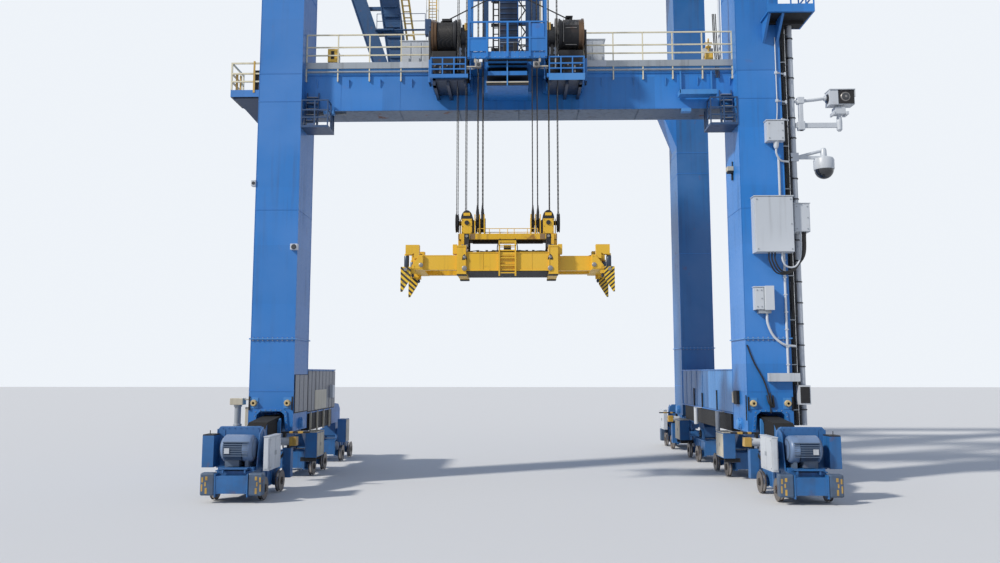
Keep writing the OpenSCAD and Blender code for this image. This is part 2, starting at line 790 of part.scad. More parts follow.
// The blue guard frame in front of the hoist and the rails of the two baskets.
module platform_rails() {
    half = platform_w / 2;
    guard_h = 1250;
    back = girder_front_y - girder_flange;
    color(steel_blue) {
        for (x = [-half, -half + 740, -30, half - 740, half - 80])
            block([hoist_x + x, platform_front_y - 60, platform_z + 40],
                [hoist_x + x + 80, platform_front_y, platform_top_z + guard_h]);
        for (z = [guard_h - 60, guard_h - 730])
            block([hoist_x - half, platform_front_y - 60, platform_top_z + z],
                [hoist_x + half, platform_front_y, platform_top_z + z + 60]);
        for (x = [[-half, -half + 740], [half - 740, half]])
            block([hoist_x + x[0], platform_front_y - 40, platform_top_z],
                [hoist_x + x[1], platform_front_y - 20, platform_top_z + guard_h - 700]);
        for (side = [-1, 1])
            mirror([side > 0 ? 0 : 1, 0, 0])
                translate([side * hoist_x, 0, 0]) {
                    rail_x(half + 60, half + basket_w, platform_front_y, basket_top_z, 710, 3);
                    rail_y(half + basket_w - rail_t, platform_front_y, back, basket_top_z, 710, 2);
                }
    }
}

// Pedestals, gearboxes and brakes between the two drums.
module hoist_drives() {
    color(dark_steel)
        for (side = [-1, 1])
            mirror([side > 0 ? 0 : 1, 0, 0])
                translate([side * hoist_x, 0, 0])
                    hoist_drive();
}

module hoist_drive() {
    outer = drum_offset + drum_l / 2 + 60;
    difference() {
        union() {
            block([pedestal_x, drum_y - 160, basket_top_z],
                [pedestal_x + pedestal_w, drum_y + 250, drum_axis_z + 720]);
            block([outer, drum_y - 250, basket_top_z],
                [outer + 70, drum_y + 250, drum_axis_z + 200]);
        }
        bar_x(0, outer + 200, drum_y, drum_axis_z, shaft_r + run_gap);
    }
    difference() {
        block([pedestal_x - 420, drum_y - 220, platform_top_z],
            [pedestal_x, girder_front_y - 300, drum_axis_z + 350]);
        bar_x(0, outer, drum_y, drum_axis_z, shaft_r + 30);
    }
}

// A rope drum with flanges, on its own shaft.
module drum(side) {
    x = hoist_x + side * drum_offset;
    half = drum_l / 2;
    inner = side > 0 ? -half - 170 : -half - 60 - 60;
    outer = side > 0 ? half + 60 + 60 : half + 170;
    turns = 16;
    pitch = (drum_l - 160) / turns;
    y = drum_y;
    color(dark_steel)
        union() {
            bar_x(x + inner, x + outer, y, drum_axis_z, shaft_r);
            for (end = [-half, half - 50])
                bar_x(x + end, x + end + 50, y, drum_axis_z, drum_flange_r);
            bar_x(x - half, x + half, y, drum_axis_z, drum_r - rope_d / 2);
            for (k = [0:turns - 1])
                bar_x(x - half + 80 + k * pitch, x - half + 80 + k * pitch + pitch * 0.7, y,
                    drum_axis_z, drum_r);
        }
}

module left_drum() {
    drum(-1);
}

module right_drum() {
    drum(1);
}

// Each drum's rope: inwards off the drum's top, round a deflector, and up to the head frame.
module drum_ropes() {
    color(dark_steel)
        for (side = [-1, 1])
            translate([hoist_x, 0, 0])
                mirror([side > 0 ? 0 : 1, 0, 0])
                    slab_xz(drum_y - rope_d / 2, drum_y + rope_d / 2)
                        drum_rope_outline();
}

function around(angle, r) = [deflector_x - r * sin(angle), deflector_z - r * cos(angle)];

module drum_rope_outline() {
    inner = deflector_r + run_gap;
    outer = inner + rope_d;
    start_z = drum_axis_z + drum_r + run_gap;
    step = (90 - rope_slope) / rope_bend_steps;
    polygon(concat([[drum_rope_x, start_z + rope_d * 0.13], [drum_rope_x - rope_d * 0.46, start_z]],
        [for (k = [0:rope_bend_steps]) around(rope_slope + step * k, outer)],
        [[deflector_x - outer, leg_top_z], [deflector_x - inner, leg_top_z]],
        [for (k = [rope_bend_steps:-1:0]) around(rope_slope + step * k, inner)],
        [[drum_rope_x, start_z + rope_d * 1.13]]));
}

// Two falls of rope at each pair of sheaves.
module hoist_ropes() {
    color(dark_steel)
        for (x = sheave_offsets)
            for (side = [-1, 1])
                bar_z(hoist_x + x, rope_y + side * (groove_r + rope_d / 2 + run_gap), block_sheave_z,
                    head_sheave_z, rope_d / 2);
}

// The head block: a beam with sheave housings that carry the block's sheave shaft.
module head_block() {
    half = block_d / 2;
    z1 = block_z + block_h;
    top = block_sheave_z + 150;
    color(spreader_yellow)
        difference() {
            union() {
                block([hoist_x - block_half_l, rope_y - half, block_z],
                    [hoist_x + block_half_l, rope_y + half, z1]);
                for (x = [-1905, -1545, -1115, -1095, 1085, 1105, 1535, 1895])
                    block([hoist_x + x - 5, rope_y - 180, z1 - 50],
                        [hoist_x + x + 15, rope_y + 180, top]);
            }
            bar_x(hoist_x - 2500, hoist_x + 2500, rope_y, block_sheave_z, shaft_r + run_gap);
            for (x = sheave_offsets)
                bar_x(hoist_x + x - sheave_t / 2 - 12, hoist_x + x + sheave_t / 2 + 12, rope_y,
                    block_sheave_z, sheave_r + 30);
        }
}

module block_sheaves() {
    color(dark_steel) {
        for (side = [-1, 1])
            bar_x(hoist_x + min(side * block_shaft[0], side * block_shaft[1]),
                hoist_x + max(side * block_shaft[0], side * block_shaft[1]),
                rope_y, block_sheave_z, shaft_r);
        for (x = sheave_offsets)
            sheave(hoist_x + x, block_sheave_z);
    }
}

// The spreader's main frame, with channels for the telescopic beams and two collars.
module spreader_frame() {
    half_d = main_d / 2;
    color(spreader_yellow)
        difference() {
            union() {
                block([hoist_x - main_half_l, rope_y - half_d, main_z],
                    [hoist_x + main_half_l, rope_y + half_d, main_z + main_h]);
                for (side = [-1, 1])
                    block([hoist_x + side * (main_half_l - 180) - 180, rope_y - half_d - 60,
                        main_z - 130], [hoist_x + side * (main_half_l - 180) + 180,
                        rope_y + half_d + 60, main_z + main_h + 250]);
                for (side = [-1, 1])
                    block([hoist_x + side * (main_half_l - 180) - 180, rope_y - 400,
                        main_z + main_h - 50], [hoist_x + side * (main_half_l - 180) + 180,
                        rope_y + 400, block_z]);
            }
            for (side = [-1, 1])
                for (channel = arm_channels)
                    block([hoist_x - 3000, rope_y + (side < 0 ? channel[0] : -channel[1]) - slide_gap,
                        arm_z - run_gap], [hoist_x + 3000,
                        rope_y + (side < 0 ? channel[1] : -channel[0]) + slide_gap,
                        arm_z + arm_h + slide_gap]);
        }
}

module spreader_ladder() {
    y1 = rope_y - main_d / 2;
    color(spreader_yellow) {
        for (side = [-1, 1])
            block([hoist_x + side * 310 - 30, y1 - 110, main_z - 200],
                [hoist_x + side * 310 + 30, y1, main_z + main_h + 380]);
        for (k = [0:4])
            block([hoist_x - 310, y1 - 90, main_z - 100 + k * 290],
                [hoist_x + 310, y1 - 30, main_z - 60 + k * 290]);
    }
}

// A telescopic arm, drawn to the right: two beams, an end beam and two goosenecks.
module arm(pair) {
    channel = arm_channels[pair];
    half_d = end_beam_half_d;
    union() {
        for (side = [-1, 1])
            block([-arm_inner_end, side < 0 ? channel[0] : -channel[1], arm_z],
                [end_beam_x, side < 0 ? channel[1] : -channel[0], arm_z + arm_h]);
        slab_xz(-half_d, half_d)
            polygon([[end_beam_x - end_beam_w, arm_z], [end_beam_x + 40, arm_z],
                [end_beam_x + 40, arm_z + 150], [end_beam_x - 270, arm_z + arm_h],
                [end_beam_x - end_beam_w, arm_z + arm_h]]);
        for (side = [-1, 1])
            slab_xz(side * (half_d - 180) - 150, side * (half_d - 180) + 150)
                polygon([[gooseneck_x, arm_z + arm_h - 100], [gooseneck_x + 200, arm_z + arm_h - 150],
                    [gooseneck_x + 200, gooseneck_z + 60], [gooseneck_x + 280, gooseneck_z],
                    [gooseneck_x + 530, gooseneck_z], [gooseneck_x + 530, gooseneck_z + 380],
                    [gooseneck_x, gooseneck_z + 380]]);
        for (side = [-1, 1]) {
            block([end_beam_x - 20, side * (half_d - 180) - 150, arm_z - 90],
                [flipper_pin_x + 90, side * (half_d - 180) + 150, arm_z + 90]);
            bar_z(flipper_pin_x, side * (half_d - 180), arm_z + 60, gooseneck_z + 40, 85);
        }
        for (side = [-1, 1])
            block([end_beam_x - 90, side * (half_d - 110) - 90, arm_z - 150],
                [end_beam_x + 90, side * (half_d - 110) + 90, arm_z]);
        bar_y(flipper_pin_x, -half_d - flipper_t - 30, half_d + flipper_t + 30, flipper_pin_z,
            flipper_pin_r);
    }
}

module left_arm() {
    color(spreader_yellow)
        translate([hoist_x, rope_y, 0])
            mirror([1, 0, 0])
                arm(0);
}

module right_arm() {
    color(spreader_yellow)
        translate([hoist_x, rope_y, 0])
            arm(1);
}

// A pair of corner flippers, drawn to the right, on the arm's pins.
module flippers() {
    for (side = [-1, 1])
        difference() {
            slab_xz(side * (end_beam_half_d + flipper_t / 2 + 10) - flipper_t / 2,
                side * (end_beam_half_d + flipper_t / 2 + 10) + flipper_t / 2)
                polygon([[spreader_half_l - flipper_w, flipper_pin_z + 100],
                    [spreader_half_l, flipper_pin_z + 100],
                    [spreader_half_l, flipper_pin_z - flipper_l],
                    [spreader_half_l - 60, flipper_pin_z - flipper_l],
                    [spreader_half_l - flipper_w, flipper_pin_z - flipper_l + 520]]);
            bar_y(flipper_pin_x, -2000, 2000, flipper_pin_z, flipper_pin_r + run_gap);
        }
}

module left_flippers() {
    color(spreader_yellow)
        translate([hoist_x, rope_y, 0])
            mirror([1, 0, 0])
                flippers();
}

module right_flippers() {
    color(spreader_yellow)
        translate([hoist_x, rope_y, 0])
            flippers();
}

// A wheel with two flanges on its own axle, whose bearings are the bogie's two side frames.
module wheel(x, y) {
    half = wheel_w / 2;
    inward = side_frame_x - wheel_x - side_frame_t / 2 - 60;
    boss = half + 20;
    translate([x, y, wheel_r])
        rotate([0, 90, 0])
            rotate_extrude($fn = 64)
                polygon([[0, inward], [axle_r, inward], [axle_r, -boss], [150, -boss],
                    [150, -half + 30], [260, -half + 30], [300, -half], [wheel_r, -half],
                    [wheel_r, -half + 22], [tread_r, -half + 34], [tread_r, half - 34],
                    [wheel_r, half - 22], [wheel_r, half], [300, half], [260, half - 30],
                    [150, half - 30], [150, boss], [axle_r, boss], [axle_r, boss + 30],
                    [0, boss + 30]]);
}

// The wheels of one axle line, on both rails of each track that has a bogie there.
module wheel_line(k) {
    tracks = k < 6 ? [-1, 1] : [1];
    color(dark_steel)
        for (track = tracks) {
            translate([track * leg_x, 0, 0])
                wheel(wheel_x, axle_lines[k]);
            translate([track * leg_x, 0, 0])
                mirror([1, 0, 0])
                    wheel(wheel_x, axle_lines[k]);
        }
}

// One bogie on the line x = 0, y = 0: side frames, outer bearing plates and a saddle.
module bogie() {
    half_l = wheelbase / 2 + 560;
    saddle_top = bogie_pin_z + 250;
    difference() {
        union() {
            for (side = [-1, 1]) {
                block([side * side_frame_x - side_frame_t / 2, -half_l, frame_z],
                    [side * side_frame_x + side_frame_t / 2, half_l, frame_top_z]);
                for (y = [-wheelbase / 2, wheelbase / 2])
                    bar_x(side > 0 ? side_frame_x : -side_frame_x - bearing_t,
                        side > 0 ? side_frame_x + bearing_t : -side_frame_x, y, wheel_r, bearing_r);
            }
            for (y = [-half_l, half_l - 160, -250, 90])
                block([-side_frame_x, y, frame_z + 60], [side_frame_x, y + 160, frame_top_z - 20]);
            for (side = [-1, 1])
                slab_yz(side * (equaliser_w / 2 + 65) - 50, side * (equaliser_w / 2 + 65) + 50)
                    polygon([[-450, frame_z + 100], [450, frame_z + 100], [450, frame_top_z],
                        [220, saddle_top], [-220, saddle_top], [-450, frame_top_z]]);
        }
        for (y = [-wheelbase / 2, wheelbase / 2])
            bar_x(-2000, 2000, y, wheel_r, axle_r + run_gap);
    }
    bar_x(-equaliser_w / 2 - 150, equaliser_w / 2 + 150, 0, bogie_pin_z, pin_r);
}

// The equaliser beam on the line x = 0, with its pin in the leg's foot.
module equaliser() {
    o = bogie_offset;
    slab_yz(-equaliser_w / 2, equaliser_w / 2)
        polygon([[-o - 350, bogie_pin_z - 150], [-o + 350, bogie_pin_z - 150],
            [-o + 1100, equaliser_pin_z - 600], [o - 1100, equaliser_pin_z - 600],
            [o - 350, bogie_pin_z - 150], [o + 350, bogie_pin_z - 150],
            [o + 350, bogie_pin_z + 350], [o - 900, equaliser_pin_z + 150],
            [700, equaliser_pin_z + 320], [-700, equaliser_pin_z + 320],
            [-o + 900, equaliser_pin_z + 150], [-o - 350, bogie_pin_z + 350]]);
    bar_x(-leg_w / 2 - 60, leg_w / 2 + 60, 0, equaliser_pin_z, pin_r);
}

module bogie_set() {
    equaliser();
    for (y = [-bogie_offset, bogie_offset])
        translate([0, y, 0])
            bogie();
}

module bogies_front_left() {
    color(steel_blue)
        translate([-leg_x, -leg_y, 0])
            bogie_set();
}

module bogies_front_right() {
    color(steel_blue)
        translate([leg_x, -leg_y, 0])
            bogie_set();
}

module bogies_rear_right() {
    color(steel_blue)
        translate([leg_x, leg_y, 0])
            bogie_set();
}

// The single bogie under the left sill beam's nose, on a post that reaches up to it.
module bogie_rear_left() {
    color(steel_blue)
        translate([-leg_x, leg_y - bogie_offset, 0]) {
            bogie();
            block([-equaliser_w / 2, -300, bogie_pin_z - 100],
                [equaliser_w / 2, 300, sill_z - nose_h]);
        }
}

// Repeats a piece at the three outermost bogies.
module at_ends() {
    for (end = ends)
        translate([end[0] * leg_x, 0, 0])
            mirror([end[0] > 0 ? 0 : 1, 0, 0])
                mirror([0, end[1] > 0 ? 1 : 0, 0])
                    children();
}

// A travel motor across the bogie's end on its stand, with its gear case and side case.
module travel_motor() {
    half = motor_l / 2;
    fins = 7;
    base_half = side_frame_x + side_frame_t / 2;
    block([-base_half, motor_y - 330, frame_top_z], [base_half, motor_y + 330, frame_top_z + 90]);
    for (x = [-420, 300])
        block([x, motor_y - 260, frame_top_z + 90], [x + 120, motor_y + 260, motor_z - 300]);
    bar_x(-half + 90, half - 90, motor_y, motor_z, motor_r - 40);
    for (end = [-half, half - 90])
        bar_x(end, end + 90, motor_y, motor_z, motor_r - 110);
    for (k = [0:fins - 1])
        block([-half + 130, motor_y - motor_r, motor_z - 240 + k * 80],
            [half - 130, motor_y - motor_r + 120, motor_z - 215 + k * 80]);
    slab_xz(gear_case_y, gear_case_y + gear_case_t)
        polygon([[gear_case_x[0], frame_top_z], [gear_case_x[1], frame_top_z],
            [gear_case_x[1], gear_case_top_z - gear_case_cut],
            [gear_case_x[1] - gear_case_cut + 20, gear_case_top_z],
            [gear_case_x[0] + 200 + gear_case_cut, gear_case_top_z],
            [gear_case_x[0] + 200, gear_case_top_z - gear_case_cut]]);
}

module travel_motors() {
    color("slategray")
        at_ends()
            travel_motor();
}

// Cabinets on the bogies' inner sides and the upright cases on their outer sides.
module bogie_cabinets() {
    color(pale_grey) {
        at_ends() {
            block([inner_case_x[0], motor_y - 250, inner_case_z[0]],
                [inner_case_x[1], motor_y + 1150, inner_case_z[1]]);
            block([inner_case_x[1], gear_case_y + gear_case_t, 1700],
                [inner_case_x[1] + 220, gear_case_y + gear_case_t + 100, 1800]);
            block([outer_case_x[0], motor_y - 100, outer_case_z[0]],
                [outer_case_x[1], gear_case_y, outer_case_z[1]]);
        }
    }
}

// Buffers: an end beam across the bogie and two striped blocks before the rails.
module buffer_set() {
    back = -outer_axle_y - 560;
    block([-585, -buffer_y, 320], [585, back, 920]);
    for (side = [-1, 1])
        block([side * 845 - 255, -buffer_y + 15, 250], [side * 845 + 255, back, 1030]);
}

module buffers() {
    color(steel_blue)
        at_ends()
            buffer_set();
}

// The cable bundle, ladder and pipe mast that climb the right leg's outer side.
module cable_mast() {
    x0 = leg_x + leg_w / 2;
    y = mast_y;
    top = leg_platform_z;
    base = 2400;
    clips = 12;
    color(pale_grey) {
        bar_z(x0 + 560, y, base, top, mast_r);
        for (k = [0:clips])
            block([x0, y - 40, base + 400 + (top - base - 800) * k / clips],
                [x0 + 560, y + 40, base + 440 + (top - base - 800) * k / clips]);
        block([x0 + 20, y - 160, base], [x0 + 170, y + 160, top]);
        for (dx = [250, 400])
            block([x0 + dx, y - 30, base], [x0 + dx + 30, y + 30, top]);
    }
}

// Cabinets on the front of the right leg, and two that hang on the mast beside it.
module leg_cabinets() {
    f = leg_front_y;
    mast_front = mast_y - mast_r - run_gap;
    color(pale_grey)
        for (c = leg_cases)
            block([c[0], f - c[2], c[3]],
                [c[1], c[0] > leg_x + leg_w / 2 ? mast_front : f, c[4]]);
}

// The box camera on two arms from the mast.
module box_camera() {
    y = mast_y;
    x0 = leg_x + leg_w / 2 + 670 + run_gap;
    color(pale_grey) {
        block([x0, y - 50, camera_arm_z], [camera_post_x + 100, y + 50, camera_arm_z + 200]);
        bar_z(camera_post_x, y, camera_arm_z + 200, camera_z, 90);
        block([12950, y - 250, camera_z], [13980, y + 250, camera_z + 620]);
    }
}

module dome_camera() {
    y = mast_y;
    x0 = leg_x + leg_w / 2 + 670 + run_gap;
    color(pale_grey) {
        block([x0, y - 50, 13320], [12740, y + 50, 13440]);
        bar_z(12690, y, 13080, 13440, 120);
        translate([12690, y, 12860])
            sphere(r = 380, $fn = 48);
    }
}

module leg_lamps() {
    z = foot_top_z + 330;
    color(spreader_yellow)
        for (side = [-1, 1])
            for (dx = [-680, 680])
                bar_y(side * leg_x + dx, leg_front_y - 150, leg_front_y, z, 110);
}

front_left_leg();
front_right_leg();
rear_right_leg();
left_sill_beam();
right_sill_beam();
portal_girder();
rear_girder();
front_top_girder();
rear_top_girder();
top_side_beams();
leaning_braces();
brace_ladders();
hoist_tower();
head_frame();
head_sheaves();
girder_walkway();
walkway_rails();
walkway_cabinets();
left_leg_platform();
right_leg_platform();
corner_platforms();
hoist_platform();
platform_rails();
hoist_drives();
drum_ropes();
bogies_front_left();
bogies_front_right();
bogies_rear_right();
bogie_rear_left();
travel_motors();
bogie_cabinets();
buffers();
cable_mast();
leg_cabinets();
box_camera();
dome_camera();
leg_lamps();
left_drum();
right_drum();
hoist_ropes();
head_block();
block_sheaves();
spreader_frame();
spreader_ladder();
left_arm();
right_arm();
left_flippers();
right_flippers();
wheel_line(0);  // wheels_1
wheel_line(1);  // wheels_2
wheel_line(2);  // wheels_3
wheel_line(3);  // wheels_4
wheel_line(4);  // wheels_5
wheel_line(5);  // wheels_6
wheel_line(6);  // wheels_7
wheel_line(7);  // wheels_8
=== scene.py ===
# %% [markdown]
# # A rail mounted gantry crane, dressed part by part
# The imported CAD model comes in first, as a fixed frame. Every piece made below is placed in
# the same metres: X across the two tracks, Y along them with the front at -Y, Z up from the
# level that the wheels stand on.

import bpy
import numpy as np
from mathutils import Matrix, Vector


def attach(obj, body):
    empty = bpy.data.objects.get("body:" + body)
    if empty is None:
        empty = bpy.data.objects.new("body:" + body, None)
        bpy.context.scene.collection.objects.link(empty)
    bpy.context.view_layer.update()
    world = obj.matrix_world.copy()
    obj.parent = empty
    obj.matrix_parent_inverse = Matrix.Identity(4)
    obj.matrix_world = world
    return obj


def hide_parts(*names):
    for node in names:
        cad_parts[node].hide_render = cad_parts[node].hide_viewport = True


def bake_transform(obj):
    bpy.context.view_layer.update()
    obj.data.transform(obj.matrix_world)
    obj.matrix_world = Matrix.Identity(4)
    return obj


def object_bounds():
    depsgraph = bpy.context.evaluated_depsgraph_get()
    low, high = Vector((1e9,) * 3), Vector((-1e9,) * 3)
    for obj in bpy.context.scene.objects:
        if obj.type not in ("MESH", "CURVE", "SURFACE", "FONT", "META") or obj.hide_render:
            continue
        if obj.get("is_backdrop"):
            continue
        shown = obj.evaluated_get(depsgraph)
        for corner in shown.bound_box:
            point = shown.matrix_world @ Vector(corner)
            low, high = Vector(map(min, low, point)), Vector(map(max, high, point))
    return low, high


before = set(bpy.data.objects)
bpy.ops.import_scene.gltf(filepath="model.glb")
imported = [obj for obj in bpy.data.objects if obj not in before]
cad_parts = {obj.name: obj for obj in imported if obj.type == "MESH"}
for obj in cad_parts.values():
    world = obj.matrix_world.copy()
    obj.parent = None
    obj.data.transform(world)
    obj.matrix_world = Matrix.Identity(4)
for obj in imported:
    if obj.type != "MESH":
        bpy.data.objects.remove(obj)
cad_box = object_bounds()

# %% [markdown]
# ## Shapes worked out as whole arrays
# A crane is plates, tubes, bolts and turned parts. Each helper returns one array of corners
# and a list of faces, so that a piece can join hundreds of them into one closed mesh.

# %% Boxes, rods, tubes, turned parts and plates
BOX_CORNERS = np.array([[0, 0, 0], [1, 0, 0], [1, 1, 0], [0, 1, 0], [0, 0, 1], [1, 0, 1], [1, 1, 1], [0, 1, 1]])
BOX_FACES = np.array([[0, 3, 2, 1], [4, 5, 6, 7], [0, 1, 5, 4], [1, 2, 6, 5], [2, 3, 7, 6], [3, 0, 4, 7]])


def boxes(*rows):
    """Boxes from rows x0, y0, z0, x1, y1, z1: corner = low + unit corner * (high - low)."""
    rows = np.array(rows, float).reshape(-1, 6)
    low, high = np.minimum(rows[:, :3], rows[:, 3:]), np.maximum(rows[:, :3], rows[:, 3:])
    verts = low[:, None] + BOX_CORNERS[None] * (high - low)[:, None]
    faces = BOX_FACES[None] + 8 * np.arange(len(rows))[:, None, None]
    return verts.reshape(-1, 3), faces.reshape(-1, 4).tolist()


def rods(r, *rows, sides=8):
    """Round rods from rows x0, y0, z0, x1, y1, z1: end + r * (u cos a + v sin a), with capped ends."""
    rows = np.array(rows, float).reshape(-1, 6)
    a, b = rows[:, :3], rows[:, 3:]
    t = (b - a) / np.linalg.norm(b - a, axis=1, keepdims=True)
    helper = np.where(np.abs(t[:, 2:]) > 0.9, [[1.0, 0, 0]], [[0, 0, 1.0]])
    u = np.cross(t, helper)
    u /= np.linalg.norm(u, axis=1, keepdims=True)
    v = np.cross(t, u)
    angle = 2 * np.pi * np.arange(sides) / sides
    ring = r * (u[:, None] * np.cos(angle)[None, :, None] + v[:, None] * np.sin(angle)[None, :, None])
    verts = np.concatenate([a[:, None] + ring, b[:, None] + ring], axis=1)
    k = np.arange(sides)
    quads = np.stack([k, (k + 1) % sides, (k + 1) % sides + sides, k + sides], axis=1)
    faces = []
    for base in range(0, len(rows) * 2 * sides, 2 * sides):
        faces += (quads + base).tolist()
        faces += [(k[::-1] + base).tolist(), (k + sides + base).tolist()]
    return verts.reshape(-1, 3), faces


def skin(rings, sides):
    """Faces of a tube of rings: a quad between neighbours, and a cap at each end."""
    i, k = np.meshgrid(np.arange(rings - 1), np.arange(sides), indexing="ij")
    k1 = (k + 1) % sides
    quads = np.stack([i * sides + k, i * sides + k1, (i + 1) * sides + k1, (i + 1) * sides + k], axis=-1)
    caps = [list(range(sides))[::-1], list(range((rings - 1) * sides, rings * sides))]
    return quads.reshape(-1, 4).tolist() + caps


def smooth_path(points, count=40):
    """A rounded line through points: a uniform cubic (Catmull-Rom) blend of four neighbours at a time."""
    p = np.array(points, float)
    p = np.concatenate([[2 * p[0] - p[1]], p, [2 * p[-1] - p[-2]]])
    s = np.linspace(0, len(p) - 3 - 1e-9, count)
    i, f = s.astype(int), (s % 1)[:, None]
    a, b, c, d = p[i], p[i + 1], p[i + 2], p[i + 3]
    return 0.5 * (2 * b + (c - a) * f + (2 * a - 5 * b + 4 * c - d) * f**2 + (3 * b - a - 3 * c + d) * f**3)


def tube(points, r, sides=8, smooth=40):
    """A cable or pipe: the ring r * (u cos a + v sin a) carried along a rounded path."""
    path = smooth_path(points, smooth) if smooth else np.array(points, float)
    t = np.gradient(path, axis=0)
    t /= np.linalg.norm(t, axis=1, keepdims=True) + 1e-9
    u = np.cross(t, [0.31, 0.92, 0.23])
    u /= np.linalg.norm(u, axis=1, keepdims=True) + 1e-9
    v = np.cross(t, u)
    angle = 2 * np.pi * np.arange(sides) / sides
    verts = path[:, None] + r * (u[:, None] * np.cos(angle)[None, :, None] + v[:, None] * np.sin(angle)[None, :,
                                                                                                        None])
    return verts.reshape(-1, 3), skin(len(path), sides)


def turned(profile, centre, axis="x", sides=32):
    """A turned part: each profile point (distance along the axis, radius) swept round a full circle."""
    h, r = np.array(profile, float).T
    angle = 2 * np.pi * np.arange(sides) / sides
    c, s = np.cos(angle)[None], np.sin(angle)[None]
    along = np.repeat(h[:, None], sides, 1)
    order = {"x": (along, r[:, None] * c, r[:, None] * s), "y": (r[:, None] * s, along, r[:, None] * c),
             "z": (r[:, None] * c, r[:, None] * s, along)}[axis]
    verts = np.stack(order, axis=-1) + np.array(centre, float)
    return verts.reshape(-1, 3), skin(len(h), sides)


def solid(profile, centre, axis="x", sides=32):
    """A turned part whose two ends close onto its axis."""
    return turned([(profile[0][0], 0.001), *profile, (profile[-1][0], 0.001)], centre, axis, sides)


def facing(profile, way):
    """A profile as it is drawn, or turned end for end where it faces the other way."""
    return profile if way > 0 else [(-h, r) for h, r in profile[::-1]]


def plate(outline, low, high, plane="xz"):
    """A flat plate: an outline in the named plane, carried from low to high along the third axis."""
    p = np.array(outline, float)
    area = np.sum(p[:, 0] * np.roll(p[:, 1], -1) - np.roll(p[:, 0], -1) * p[:, 1])
    p = p if area > 0 else p[::-1]
    n = len(p)
    third = np.repeat([low, high], n)[:, None]
    two = np.concatenate([p, p])
    verts = {"xz": np.hstack([two[:, :1], third, two[:, 1:]]), "yz": np.hstack([third, two]),
             "xy": np.hstack([two, third])}[plane]
    k = np.arange(n)
    sides = np.stack([k, (k + 1) % n, (k + 1) % n + n, k + n], axis=1).tolist()
    faces = sides + [k[::-1].tolist(), (k + n).tolist()]
    return verts, [f[::-1] for f in faces] if plane == "xz" else faces


def mirrored(shape, x=0.0, axis=0):
    """The same shape on the other side of the plane at x, with its faces turned back outwards."""
    verts, faces = shape
    verts = verts.copy()
    verts[:, axis] = 2 * x - verts[:, axis]
    return verts, [f[::-1] for f in faces]


def moved(shape, *step):
    """The same shape, shifted by a step."""
    return shape[0] + np.array(step, float), shape[1]


def joined(shapes):
    """Shapes as one: corners stacked, face numbers raised by the corners before them."""
    verts, faces, base = [], [], 0
    for v, f in shapes:
        verts.append(v)
        faces += [[i + base for i in face] for face in f]
        base += len(v)
    return np.concatenate(verts), faces


def piece(name, material, *shapes, body="frame", smooth=False, bevel=0.0):
    """One object of the crane: shapes joined, given a material and the body it rides on."""
    verts, faces = joined(shapes)
    mesh = bpy.data.meshes.new(name)
    mesh.from_pydata(verts.tolist(), [], faces)
    mesh.validate()
    if smooth:
        mesh.shade_smooth()
        mesh.set_sharp_from_angle(angle=np.radians(35))
    made = bpy.data.objects.new(name, mesh)
    bpy.context.scene.collection.objects.link(made)
    mesh.materials.append(material)
    if bevel:
        edge = made.modifiers.new("soft_edges", "BEVEL")
        edge.width, edge.segments, edge.limit_method = bevel, 2, "ANGLE"
        edge.harden_normals = False
    if body:
        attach(made, body)
    return made


def bolts(r, depth, direction, *points):
    """Six-sided bolt heads at points, standing out along a direction."""
    points = np.array(points, float).reshape(-1, 3)
    return rods(r, *np.hstack([points, points + np.array(direction, float) * depth]), sides=6)


def bolt_circle(r, depth, side, centre, radius, count):
    """Bolt heads spaced evenly on a circle round an axis along X."""
    turn = np.arange(count) * 2 * np.pi / count
    x, y, z = centre
    return bolts(r, depth, (side, 0, 0), *[(x, y + radius * np.cos(t), z + radius * np.sin(t)) for t in turn])


print("shape helpers ready")

# %% [markdown]
# ## Weathered paint
# Ships' spray, sun and rain age a crane's paint in the same few ways: it fades in wide
# patches, dirt runs down it in narrow streaks, neighbouring plates differ a little, and rust
# comes through in spots. One node group makes these masks for every painted finish.

# %% The weather node group
def wired(tree, kind, settings=None, **inputs):
    """A shader node with its properties set and its inputs given a value or a link."""
    made = tree.nodes.new(kind)
    for key, value in (settings or {}).items():
        setattr(made, key, value)
    for key, value in inputs.items():
        socket = made.inputs[int(key[1:])] if key[0] == "i" and key[1:].isdigit() else made.inputs[key.replace("_",
                                                                                                               " ")]
        if isinstance(value, bpy.types.NodeSocket):
            tree.links.new(value, socket)
        else:
            socket.default_value = value
    return made


def ramp(tree, value, low, high, to_low=0.0, to_high=1.0):
    """A value carried from low..high to a new range, clamped at both ends."""
    made = wired(tree, "ShaderNodeMapRange", {"clamp": True}, Value=value, From_Min=low, From_Max=high,
                 To_Min=to_low, To_Max=to_high)
    return made.outputs[0]


def mixed(tree, factor, a, b, blend="MIX"):
    """Two colours mixed by a factor."""
    made = wired(tree, "ShaderNodeMix", {"data_type": "RGBA", "blend_type": blend}, i0=factor, i6=a, i7=b)
    return made.outputs[2]


def math(tree, operation, a, b=0.0):
    """One sum of two values."""
    return wired(tree, "ShaderNodeMath", {"operation": operation}, i0=a, i1=b).outputs[0]


